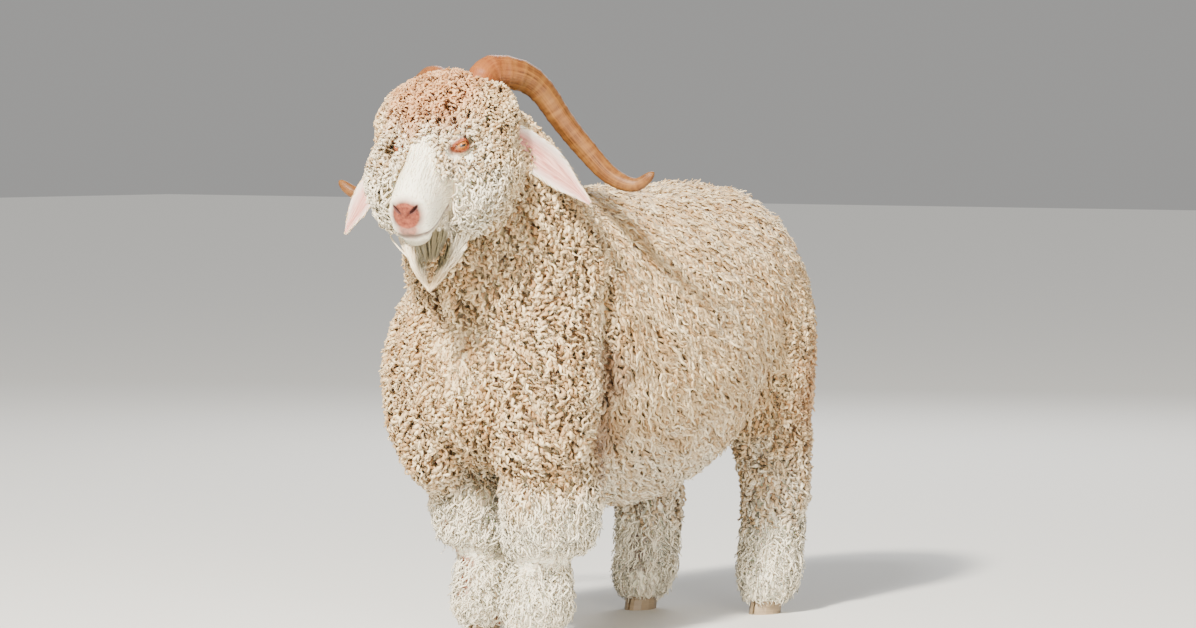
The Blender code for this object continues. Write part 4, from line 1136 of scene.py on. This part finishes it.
def patch_of(point):
    """Where a root lies on the unwrap."""
    place, _, index, _ = unwrapped_tree.find_nearest(point)
    a, b, c = (Vector(corner) for corner in unwrapped_faces[index])
    first, second, spot = b - a, c - a, place - a
    d11, d12, d22 = first.dot(first), first.dot(second), second.dot(second)
    e1, e2 = spot.dot(first), spot.dot(second)
    size = max(1e-12, d11 * d22 - d12 * d12)
    v, w = (d22 * e1 - d12 * e2) / size, (d11 * e2 - d12 * e1) / size
    start = unwrapped_loops[index]
    return corner_uv[start] * (1 - v - w) + corner_uv[start + 1] * v + corner_uv[start + 2] * w


# %% Strew the roots
CELL = 0.02     # of the grid, wider than any pitch
NEARBY = [(dx, dy, dz) for dx in (-1, 0, 1) for dy in (-1, 0, 1) for dz in (-1, 0, 1)]


def strew(tree_faces, areas, pitch_of, tries, seed):
    """Roots on the surface, drawn at random and thinned by a grid to the pitch of their place."""
    draw = np.random.default_rng(seed)
    picked = draw.choice(len(tree_faces), size=tries, p=areas / areas.sum())
    a, b = draw.random(tries), draw.random(tries)
    over = a + b > 1
    a[over], b[over] = 1 - a[over], 1 - b[over]
    corners = tree_faces[picked]
    spots = (corners[:, 0] + (corners[:, 1] - corners[:, 0]) * a[:, None]
             + (corners[:, 2] - corners[:, 0]) * b[:, None])
    taken, kept = {}, []
    for i, (spot, pitch) in enumerate(zip(spots.tolist(), pitch_of(spots).tolist())):
        home = tuple(int(c // CELL) for c in spot)
        near = (other for dx, dy, dz in NEARBY
                for other in taken.get((home[0] + dx, home[1] + dy, home[2] + dz), ()))
        if all(sum((p - q) ** 2 for p, q in zip(spot, other)) >= pitch * pitch for other in near):
            taken.setdefault(home, []).append(spot)
            kept.append(i)
    return spots[kept]


def triangles_of(thing):
    """The corners of every triangle of a mesh, and their areas."""
    corners = points_of(thing)[corners_of(thing)]
    edges = corners[:, 1:] - corners[:, :1]
    return corners, np.linalg.norm(np.cross(edges[:, 0], edges[:, 1]), axis=1) / 2


guide_faces, guide_areas = triangles_of(guide)
print("coat surface:", round(float(guide_areas.sum()), 2), "square metres")

# %% [markdown]
# ## The lie of the coat
# Wool hangs. On the neck and legs it falls straight down, on the trunk it parts along the spine and
# sweeps down and back, and on the face it grows away from the nose. Each root asks which part it
# stands on and gets the way its lock should run along the surface.

# %% Which way the locks run, and which kind they are
CHEST_END = -0.250
INTO_HEAD = HEAD_FRAME.inverted()
TURN_HEAD = HEAD_FRAME.to_3x3()


def coat_at(point):
    return min((tree.find_nearest(point)[3], coat) for coat, tree in part_trees)[1]


def laid(way, outwards):
    """A way with its share out of the surface taken off."""
    return way - outwards * way.dot(outwards)


def lie_at(coat, point, outwards):
    side = 1.0 if point.x > 0 else -1.0
    if coat == "trunk":
        back = clamp((point.y - CHEST_END) / 0.2)
        way = Vector((point.x * 4.0, 0.7 * back, -1.0))
    elif coat == "tail":
        way = Vector((0.0, 0.8, -0.6))
    elif coat == "head":
        local = INTO_HEAD @ point
        way = TURN_HEAD @ Vector((local.x * 7.0, -1.0, 0.2)) + Vector((0, 0, -0.7))
        for eye_side in (LEFT, RIGHT):
            away = local - mirrored(EYE_AT, eye_side)
            way += TURN_HEAD @ away.normalized() * (2.4 * max(0.0, 1 - away.length / EYE_PARTING))
    else:
        way = Vector((side * 0.12, 0.0, -1.0))
    way = laid(way, outwards)
    if way.length < 0.15:
        way = outwards.orthogonal()
    return way.normalized()


# %% [markdown]
# ## Where no curl grows
# The blaze down the nose, the muzzle, a well in front of each eye and the tear line under it keep
# their short hair. Curls that would be rooted in a horn, or would hang through an ear, are left out.

# %% Bare places
EYE_PARTING = 0.060     # nearer to an eye than this the curls part away from it
EYE_WELL, EYE_FRINGE = {LEFT: 0.0188, RIGHT: 0.0135}, 1.35
BLAZE_TOP, BLAZE_HALF = 0.132, (0.009, 0.023)
MUZZLE_BACK = 0.186
SEEN_FROM = Vector((0.30, -0.87, 0.38))     # the well is open along this way too, to show the eye
TEAR_LINE = [Vector((0.046, -0.142, -0.030)), Vector((0.037, -0.182, -0.058))]
HORN_CLEAR, EAR_CLEAR = 0.004, 0.011
horn_line = [place for side in SIDE_NAMES for place in horn_path(side)]
horn_places = np.array([list(place) for place, _ in horn_line])
horn_radii = np.array([radius for _, radius in horn_line])
ear_places = np.array([list(ear_place(side, t, 0)[0]) for side in SIDE_NAMES
                       for t in np.linspace(0.25, 1, 20)])


def off_axis(spot, way):
    """How far a spot lies beside a line that leaves the origin along `way`, or 9 where it is behind."""
    ahead = spot.dot(way.normalized())
    return (spot - way.normalized() * ahead).length if ahead > -0.012 else 9.0


def bare_face(local):
    """Where the head has short hair only, given in the head's frame."""
    spread = clamp((-local.y - BLAZE_TOP) / 0.03)
    half = BLAZE_HALF[0] + (BLAZE_HALF[1] - BLAZE_HALF[0]) * spread
    if abs(local.x) < half and -local.y > BLAZE_TOP and local.z > -0.050:
        return True
    if -local.y > MUZZLE_BACK + 0.5 * max(0.0, -0.060 - local.z):
        return True
    for side in (LEFT, RIGHT):
        spot = local - mirrored(EYE_AT, side)
        spot.z *= EYE_FRINGE if spot.z > 0 else 1.0
        beside = min(off_axis(spot, mirrored(way, side)) for way in (EYE_LOOK, SEEN_FROM))
        if beside < EYE_WELL[side]:
            return True
        start, end = (mirrored(p, side) for p in TEAR_LINE)
        share = clamp((local - start).dot(end - start) / (end - start).length_squared)
        if (local - start.lerp(end, share)).length < 0.008:
            return True
    return False


def in_the_way(root, tip):
    """True where a lock would be rooted in a horn or would end in an ear."""
    in_horn = np.min(np.linalg.norm(horn_places - root, axis=1) - horn_radii) < HORN_CLEAR
    tip_in_horn = np.min(np.linalg.norm(horn_places - tip, axis=1) - horn_radii) < HORN_CLEAR
    return in_horn or tip_in_horn or np.min(np.linalg.norm(ear_places - tip, axis=1)) < EAR_CLEAR


# %% [markdown]
# ## Locks of wool
# A lock is a thin tube with a root sunk in the coat and a free tip. Ringlets wind round their own
# line like a loose spring. Wavy locks and the beard swing less outwards than sideways, so they lie
# flatter. All locks of a kind have the same count of points, so thousands are worked out at once as
# arrays and become one mesh.

# %% Build locks from arrays
LOCK_SIDES = 3
LOCK_SHARES = (0.0, 0.33, 0.66, 1.0)    # the places along a lock where it finds the surface again


def follow(tree, root, outwards, lie, reach):
    """The place on a surface that a lock has reached, and the way outwards there."""
    straight = root + lie * reach
    point, normal, _, away = tree.find_nearest(straight)
    if normal.dot(outwards) < 0.3 or away > 0.4 * reach + 0.004:
        return straight, outwards
    return point, normal


def unit(vectors):
    return vectors / np.maximum(1e-9, np.linalg.norm(vectors, axis=-1, keepdims=True))


def resample(anchors, count):
    """Points spread along a Catmull-Rom curve through a lock's anchors, for all locks at once."""
    spans = anchors.shape[1] - 1
    padded = np.concatenate([anchors[:, :1], anchors, anchors[:, -1:]], axis=1)
    t = np.linspace(0, spans, count)
    index = np.minimum(t.astype(int), spans - 1)
    f = (t - index)[None, :, None]
    return on_curve(*(padded[:, index + k] for k in range(4)), f)


def lock_mesh(name, centres, facing, radii, tones, patches, shade):
    """One mesh of closed tubes: centres (locks, rings, 3), facing the same, radii (locks, rings, 2)."""
    (locks, rings), sides = centres.shape[:2], LOCK_SIDES
    along = unit(np.gradient(centres, axis=1))
    across = unit(np.cross(along, facing))
    up = np.cross(across, along)
    angle = 2 * math.pi * np.arange(sides) / sides
    tube = (centres[:, :, None] + across[:, :, None] * np.cos(angle)[:, None] * radii[:, :, None, :1]
            + up[:, :, None] * np.sin(angle)[:, None] * radii[:, :, None, 1:])
    root = centres[:, :1] - along[:, :1] * radii[:, :1, :1]
    tip = centres[:, -1:] + along[:, -1:] * radii[:, -1:, :1] * 2
    points = np.concatenate([tube.reshape(locks, -1, 3), root, tip], axis=1)
    each = points.shape[1]
    faces, corners = [], []
    for i in range(rings - 1):
        for k in range(sides):
            a, b = i * sides + k, i * sides + (k + 1) % sides
            c, d = b + sides, a + sides
            faces += [(a, d, c), (a, c, b)]
            corners += [(k, i), (k, i + 1), (k + 1, i + 1), (k, i), (k + 1, i + 1), (k + 1, i)]
    for k in range(sides):
        n, last = (k + 1) % sides, (rings - 1) * sides
        faces += [(each - 2, k, n), (last + k, each - 1, last + n)]
        corners += [(k + 0.5, 0), (k, 0), (k + 1, 0),
                    (k, rings - 1), (k + 0.5, rings - 1), (k + 1, rings - 1)]
    faces, corners = np.array(faces), np.array(corners) / (sides, rings - 1)
    data = bpy.data.meshes.new(name)
    total = locks * len(faces)
    data.vertices.add(locks * each)
    data.vertices.foreach_set("co", points.ravel())
    data.loops.add(total * 3)
    index = (faces[None] + (np.arange(locks) * each)[:, None, None]).reshape(-1)
    data.loops.foreach_set("vertex_index", index)
    data.polygons.add(total)
    data.polygons.foreach_set("loop_start", np.arange(total) * 3)
    strands = data.uv_layers.new(name="Strands")
    strands.data.foreach_set("uv", np.tile(corners.ravel(), locks))
    bake = data.uv_layers.new(name="OFBake")
    spot = patches[:, None, :] + (corners[None] - 0.5) * PATCH
    bake.data.foreach_set("uv", np.clip(spot, 0, 1).ravel())
    data.update(calc_edges=True)
    data.validate()
    made = bpy.data.objects.new(name, data)
    bpy.context.scene.collection.objects.link(made)
    reach = 1 - shade * (1 - np.concatenate([np.repeat(np.linspace(0, 1, rings), sides), (0, 1)]))
    mark(made, "tone", np.repeat(tones, each))
    mark(made, "reach", np.tile(reach, locks))
    made.data.materials.append(wool_finish)
    print(name, locks, "locks,", total, "triangles")
    return made


# %% [markdown]
# ## The finish of the wool
# A lock carries the markings of its place. Its root gathers dust and lies in shade, so it is painted
# darker and browner, with dust and painted shade together, and its tip is bleached. Fine streaks along
# the lock stand for its fibres, and a soft sheen gives the glow of mohair.

# %% Make the wool material
def wool_material():
    made, tree, shader = new_material("mohair", Roughness=0.62, Sheen_Weight=0.15,
                                      Sheen_Roughness=0.4)
    marks = marks_in(tree)
    # The root of a lock is darkened by dust and by painted shade deep in the coat.
    dust_and_shade = mix_colours(tree, 1.0, marks, (0.52, 0.36, 0.21), "MULTIPLY")
    free_of_root_dust_and_shade = ramped(tree, read_attribute(tree, "reach"), 0.05, 0.65)
    colour = mix_colours(tree, free_of_root_dust_and_shade, dust_and_shade, marks)
    tone = mix_colours(tree, read_attribute(tree, "tone"), (0.50, 0.37, 0.235), (1, 1, 1))
    colour = mix_colours(tree, 1.0, colour, tone, "MULTIPLY")
    strands = node(tree, "UVMap", settings={"uv_map": "Strands"}).outputs["UV"]
    fibres = noise_on(tree, strands, 1.0, 2.0, stretch=(16, 3, 1))
    streaks = mix_colours(tree, fibres, (0.84, 0.76, 0.66), (1, 1, 1))
    colour = mix_colours(tree, 0.6, colour, streaks, "MULTIPLY")
    paint(tree, shader, colour, fibres, 0.5, 0.0008)
    return made


wool_finish = wool_material()

# %% [markdown]
# ## Kinds of lock
# Tight ringlets cover the neck, chest and upper legs, finer ones the forelock, and softer curls the
# cheeks. The back, flanks and tail carry longer locks with a wide crimp, and the boots a loose
# fluff. Each kind has its length, thickness, width of curl and number of turns, and how dark it is
# at the root.

# %% Name the kinds
KINDS = {   # `half` is the half thickness across the lock and outwards
    "ringlet": dict(length=0.031, half=(0.0037, 0.0036), curl=0.0034, turns=2.9, rings=17,
                    lift=0.006, shade=0.9, stray=0.9),
    "forelock": dict(length=0.018, half=(0.0029, 0.0027), curl=0.0026, turns=2.4, rings=14,
                     lift=0.003, shade=0.8, stray=0.9),
    "cheek": dict(length=0.024, half=(0.0025, 0.0020), curl=0.0028, turns=1.6, rings=11,
                  lift=0.004, shade=0.4, stray=0.8),
    "wave": dict(length=0.044, half=(0.0040, 0.0027), curl=0.0030, turns=2.9, rings=11,
                 lift=0.008, shade=0.85, stray=0.75),
    "boot": dict(length=0.030, half=(0.0019, 0.0016), curl=0.0032, turns=1.4, rings=8,
                 lift=0.006, shade=0.25, stray=0.8),
    "beard": dict(half=(0.0030, 0.0016), curl=0.0012, turns=0.9, rings=7, lift=0.0, shade=0.2),
    "short": dict(length=0.010, half=(0.0011, 0.0006), curl=0.0, turns=0.0, rings=3,
                  lift=0.0008, shade=0.15, stray=0.25),
}
WAVE_FROM, WAVE_BLEND = -0.250, 0.05
FLUFF_TOP = {"fore": 0.285, "hind": 0.185}      # under this a leg carries loose fluff
PALEST = {"boot": 0.8, "cheek": 0.6}            # these kinds have no locks darker than this tone
SEED = 23


def kind_at(coat, point, chance):
    if coat == "head":
        local = INTO_HEAD @ point
        return "cheek" if local.z < -0.045 + 0.015 * chance else "forelock"
    if coat == "leg":
        top = FLUFF_TOP["fore" if point.y < 0 else "hind"]
        return "boot" if point.z < top + 0.03 * chance else "ringlet"
    if coat == "tail":
        return "wave"
    if coat == "trunk" and point.y > WAVE_FROM + WAVE_BLEND * chance:
        return "wave"
    return "ringlet"


PITCH = {"head": 0.0069, "fluff": 0.0070, "flank": 0.0082, "rest": 0.0102}


def pitches(spots):
    """How far apart the roots are kept: finest round the head, finer on the flanks than in front."""
    away = np.linalg.norm(spots - np.array(HEAD_PLACE + Vector((0, -0.05, -0.05))), axis=1)
    x, y, z = spots.T
    flank = (y > WAVE_FROM) & (z > 0.20) & ((z > 0.45) | (y < 0.17))
    fluff = z < np.where(y < 0, FLUFF_TOP["fore"], FLUFF_TOP["hind"])
    return np.select([away < 0.17, fluff, flank],
                     [PITCH[place] for place in ("head", "fluff", "flank")], PITCH["rest"])


def lock_from(tree, point, outwards, lie, length, depth, tone):
    """A lock: its sunk root, four places along it, the ways outwards there, its patch and its tone."""
    anchors, normals = [], []
    for share in LOCK_SHARES:
        place, normal = follow(tree, point, outwards, lie, length * share)
        anchors.append(place)
        normals.append(normal)
    root = point - outwards * depth - lie * (0.25 * length)
    return root, anchors, outwards, normals, patch_of(point), tone


# %% Grow the fleece
ROOT_TRIES = 220000
HEM = 0.030             # no lock is rooted lower on a leg than this
LEG_TIP = 0.014         # nor does one hang lower than this
roots = strew(guide_faces, guide_areas, pitches, ROOT_TRIES, SEED)
both_sides = np.abs(roots) * (1, 0, 0) + roots * (0, 1, 1)
crease_bottom = np.array(CREASE) - (CREASE_DEPTH * 0.9, 0, 0)
in_crease = away_from(both_sides, crease_bottom)[0]
roots = roots[in_crease > CREASE_BARE]
draw = np.random.default_rng(SEED + 1)
grown = {kind: [] for kind in KINDS}
for root in roots:
    point = Vector(root)
    outwards = guide_tree.find_nearest(point)[1]
    coat = coat_at(point)
    if coat == "head" and bare_face(INTO_HEAD @ point):
        continue
    if coat == "leg" and point.z < HEM:
        continue
    kind = kind_at(coat, point, draw.uniform(-1, 1))
    stray = KINDS[kind]["stray"]
    lie = Matrix.Rotation(draw.uniform(-stray, stray), 3, outwards) @ lie_at(coat, point, outwards)
    length = KINDS[kind]["length"] * draw.uniform(0.8, 1.2)
    if coat == "leg":
        length = min(length, (point.z - LEG_TIP) * 0.95)
    depth = DEPTH.get(coat, CURL_GUIDE + UNDER_TIPS) - UNDER_TIPS + 0.002
    lock = lock_from(guide_tree, point, outwards, lie, length, depth,
                     draw.uniform(PALEST.get(kind, 0.0), 1))
    if not in_the_way(root, np.array(lock[1][-1])):
        grown[kind].append(lock)
print({kind: len(found) for kind, found in grown.items()})

# %% [markdown]
# ## Beard
# The beard is a V of smooth white locks. Its two arms start where the cheek wool ends at the jaw, the
# right one farther out, and their locks overlap like roof tiles down to one point. Fewer locks hang
# from under the jaw between the arms, so the chin stays open in front.

# %% Grow the beard
BEARD_POINT = Vector((0.0, -0.233, -0.230))
BEARD_ARM = {LEFT: Vector((0.048, -0.166, -0.162)), RIGHT: Vector((-0.068, -0.150, -0.160))}
BEARD_BACK, BEARD_FRONT, BEARD_HALF, BEARD_ROOT = 0.140, 0.232, 0.040, 0.014
ARM_LOCKS, JAW_LOCKS, ARM_THICK = 640, 300, 0.0125


def beard_lock(start, end, aside):
    anchors = [HEAD_FRAME @ (start.lerp(end, share) + aside * (0.003 * math.sin(math.pi * share)))
               for share in LOCK_SHARES]
    way = (TURN_HEAD @ aside).normalized()
    root = anchors[0] - way * 0.003 - (anchors[1] - anchors[0]) * 0.3
    grown["beard"].append((root, anchors, way, [way] * 4, patch_of(anchors[0]), draw.uniform(0.5, 1)))


for _ in range(ARM_LOCKS):
    foot = BEARD_ARM[int(draw.choice((LEFT, RIGHT)))]
    share = draw.uniform(0.0, 0.78)
    thick = ARM_THICK * (1 - 0.65 * share)
    start = foot.lerp(BEARD_POINT, share) + Vector(draw.normal(0, 0.5, 3)) * thick
    end = foot.lerp(BEARD_POINT, min(1.0, share + draw.uniform(0.40, 0.55)))
    end += Vector(draw.normal(0, 0.5, 3)) * thick * 0.35
    beard_lock(start, end, Vector((foot.x, -0.03, -0.02)).normalized())
for _ in range(JAW_LOCKS):
    turn = draw.uniform(-1, 1) * math.pi / 2
    outer = math.sqrt(draw.uniform(0.1, 1.0))
    along = BEARD_BACK + (BEARD_FRONT - BEARD_BACK) * math.cos(turn) * outer
    start = Vector((BEARD_HALF * math.sin(turn) * outer, -along, head_row(along)[1] + BEARD_ROOT))
    end = start.lerp(BEARD_POINT, draw.uniform(0.3, 0.6))
    beard_lock(start, end, Vector((math.sin(turn), -math.cos(turn), 0)))

# %% [markdown]
# ## Short hair
# On the face and on the backs and rims of the ears the hair is little more than a centimetre long
# and lies flat. The bump of the skin does most of it on the face. Small flat tufts break the outline
# and blend the curls into the skin. The draw is seeded, but the Boolean that fused the skin may number
# its triangles in another order each time, so some tufts of the face stand a little differently.

# %% Strew short tufts on the face and the ears
SHORT_PITCH, EAR_TRIES, EAR_HAIR = 0.0046, 6000, 0.013
SHORT_FROM = -0.085     # in the head's frame, the face's short hair grows in front of this
NEAR_EYE = 0.025        # nearer to an eye than this a tuft is half as long


def short_pitch(spots):
    return np.full(len(spots), SHORT_PITCH)


def marked(thing, name):
    values = np.empty(len(thing.data.vertices), np.float32)
    thing.data.attributes[name].data.foreach_get("value", values)
    return values


def face_of(thing, *bare):
    """Triangles of the skin that carry the face's short hair, and their areas."""
    corners, areas = triangles_of(thing)
    shown = np.clip(1 - sum(marked(thing, name) for name in bare), 0, 1) * (marked(thing, "face") > 0.9)
    local = (corners.mean(axis=1) - np.array(HEAD_FRAME.translation)) @ np.array(TURN_HEAD)
    in_front = local[:, 1] < SHORT_FROM
    return corners, areas * (shown[corners_of(thing)].min(axis=1) > 0.9) * in_front


face_faces, face_areas = face_of(skin, "nose", "mouth", "lid", "nostril")
short = KINDS["short"]
for root in strew(face_faces, face_areas, short_pitch, ROOT_TRIES // 4, SEED):
    point = Vector(root)
    outwards = skin_tree.find_nearest(point)[1]
    local = INTO_HEAD @ point
    size = 0.55 + 0.45 * clamp((0.270 + local.y) / 0.06) + 0.9 * clamp((0.230 + local.y) / 0.05)
    way = TURN_HEAD @ Vector((local.x * 9.0, -1.0, 0.0))
    way = laid(way, outwards).normalized()
    way = Matrix.Rotation(draw.uniform(-short["stray"], short["stray"]), 3, outwards) @ way
    length = short["length"] * size * draw.uniform(0.8, 1.2)
    if min((local - mirrored(EYE_AT, side)).length for side in SIDE_NAMES) < NEAR_EYE:
        length *= 0.5
    grown["short"].append(lock_from(skin_tree, point, outwards, way, length, 0.0006,
                                    draw.uniform(0.5, 1)))
for side, leaf in ears.items():
    ear_tree = tree_of(leaf)
    corners, areas = triangles_of(leaf)
    in_cup = (marked(leaf, "facing") * marked(leaf, "inside"))[corners_of(leaf)].max(axis=1)
    tip = ear_place(side, 1.0, 0)[0]
    middle = [ear_place(side, t, 0)[0] for t in np.linspace(0, 1, 30)]
    for root in strew(corners, areas * (in_cup < 0.35), short_pitch, EAR_TRIES, SEED):
        point = Vector(root)
        outwards = ear_tree.find_nearest(point)[1]
        beside = point - min(middle, key=lambda place: (place - point).length)
        way = laid((tip - point).normalized() + beside * 22, outwards)
        if way.length > 0.1:
            length = EAR_HAIR * draw.uniform(0.7, 1.2)
            grown["short"].append(lock_from(ear_tree, point, outwards, way.normalized(), length,
                                            0.0004, draw.uniform(0.4, 1)))
print("short tufts:", len(grown["short"]), "beard:", len(grown["beard"]))

# %% Turn them into meshes
MOST_IN_A_PIECE = 190000
OUTWARD_SWING = {"wave": 0.8, "beard": 0.3}     # next to a curl's sideways swing, where it differs


def build_kind(kind, found, name):
    size_of = KINDS[kind]
    rings = size_of["rings"]
    draw = np.random.default_rng(SEED + len(found))
    count = len(found)
    line = np.array([[lock[0], *lock[1]] for lock in found])
    normals = np.array([[lock[2], lock[2], *lock[3][1:]] for lock in found])
    base, facing = resample(line, rings), unit(resample(normals, rings))
    t = np.linspace(0, 1, rings)[None, :, None]
    size = draw.uniform(0.75, 1.25, (count, 1, 1))
    base = base + facing * (size_of["lift"] * t ** 2 * draw.uniform(0, 1.6, (count, 1, 1)))
    along = unit(np.gradient(base, axis=1))
    across = unit(np.cross(along, facing))
    hand = draw.choice((-1.0, 1.0), (count, 1, 1))
    phase = draw.uniform(0, 2 * math.pi, (count, 1, 1))
    angle = phase + hand * 2 * math.pi * size_of["turns"] * draw.uniform(0.85, 1.2, (count, 1, 1)) * t
    swing = size_of["curl"] * size * np.clip(t * 3, 0, 1) * (1 - 0.25 * t)
    flat = kind in ("wave", "beard", "short")
    outward_swing = swing * OUTWARD_SWING.get(kind, 1.0)
    centres = base + across * (swing * np.cos(angle)) + facing * (outward_swing * np.sin(angle))
    taper = np.interp(t[0, :, 0], (0, 0.2, 0.7, 1.0), (0.7, 1.0, 0.85, 0.25 if flat else 0.45))
    radii = np.array(size_of["half"]) * size * taper[None, :, None]
    outer = across * np.cos(angle) + facing * np.sin(angle)
    frame_way = facing if flat else unit(outer + facing * 0.001)
    tones = np.array([lock[5] for lock in found])
    patches = np.array([lock[4] for lock in found])
    return lock_mesh(name, centres, frame_way, radii, tones, patches, size_of["shade"])


def split(found, most):
    """Parts a list of locks into runs from head to tail, each small enough for one piece."""
    found = sorted(found, key=lambda lock: lock[0].y)
    runs = -(-len(found) // most)
    size = -(-len(found) // runs) if runs else 1
    return [found[i:i + size] for i in range(0, len(found), size)]


coat_pieces = []
for kind, found in grown.items():
    triangles = 2 * LOCK_SIDES * KINDS[kind]["rings"]
    for i, run in enumerate(split(found, MOST_IN_A_PIECE // triangles)):
        coat_pieces.append(build_kind(kind, run, f"coat_{kind}_{i + 1}"))

# %% [markdown]
# ## Fasten everything
# The guides were only scaffolding. They are removed, and the skin and the coat join the frame.

# %% Finish
skin.data.materials.clear()
skin.data.materials.append(skin_material())
keep(skin, "wool", *FLESH)
for side, word in SIDE_NAMES.items():
    keep(ears[side], "ear_skin", "ear_" + word)
for piece in coat_pieces:
    keep(piece, "wool")
for spare in (guide, unwrapped):
    bpy.data.objects.remove(spare)
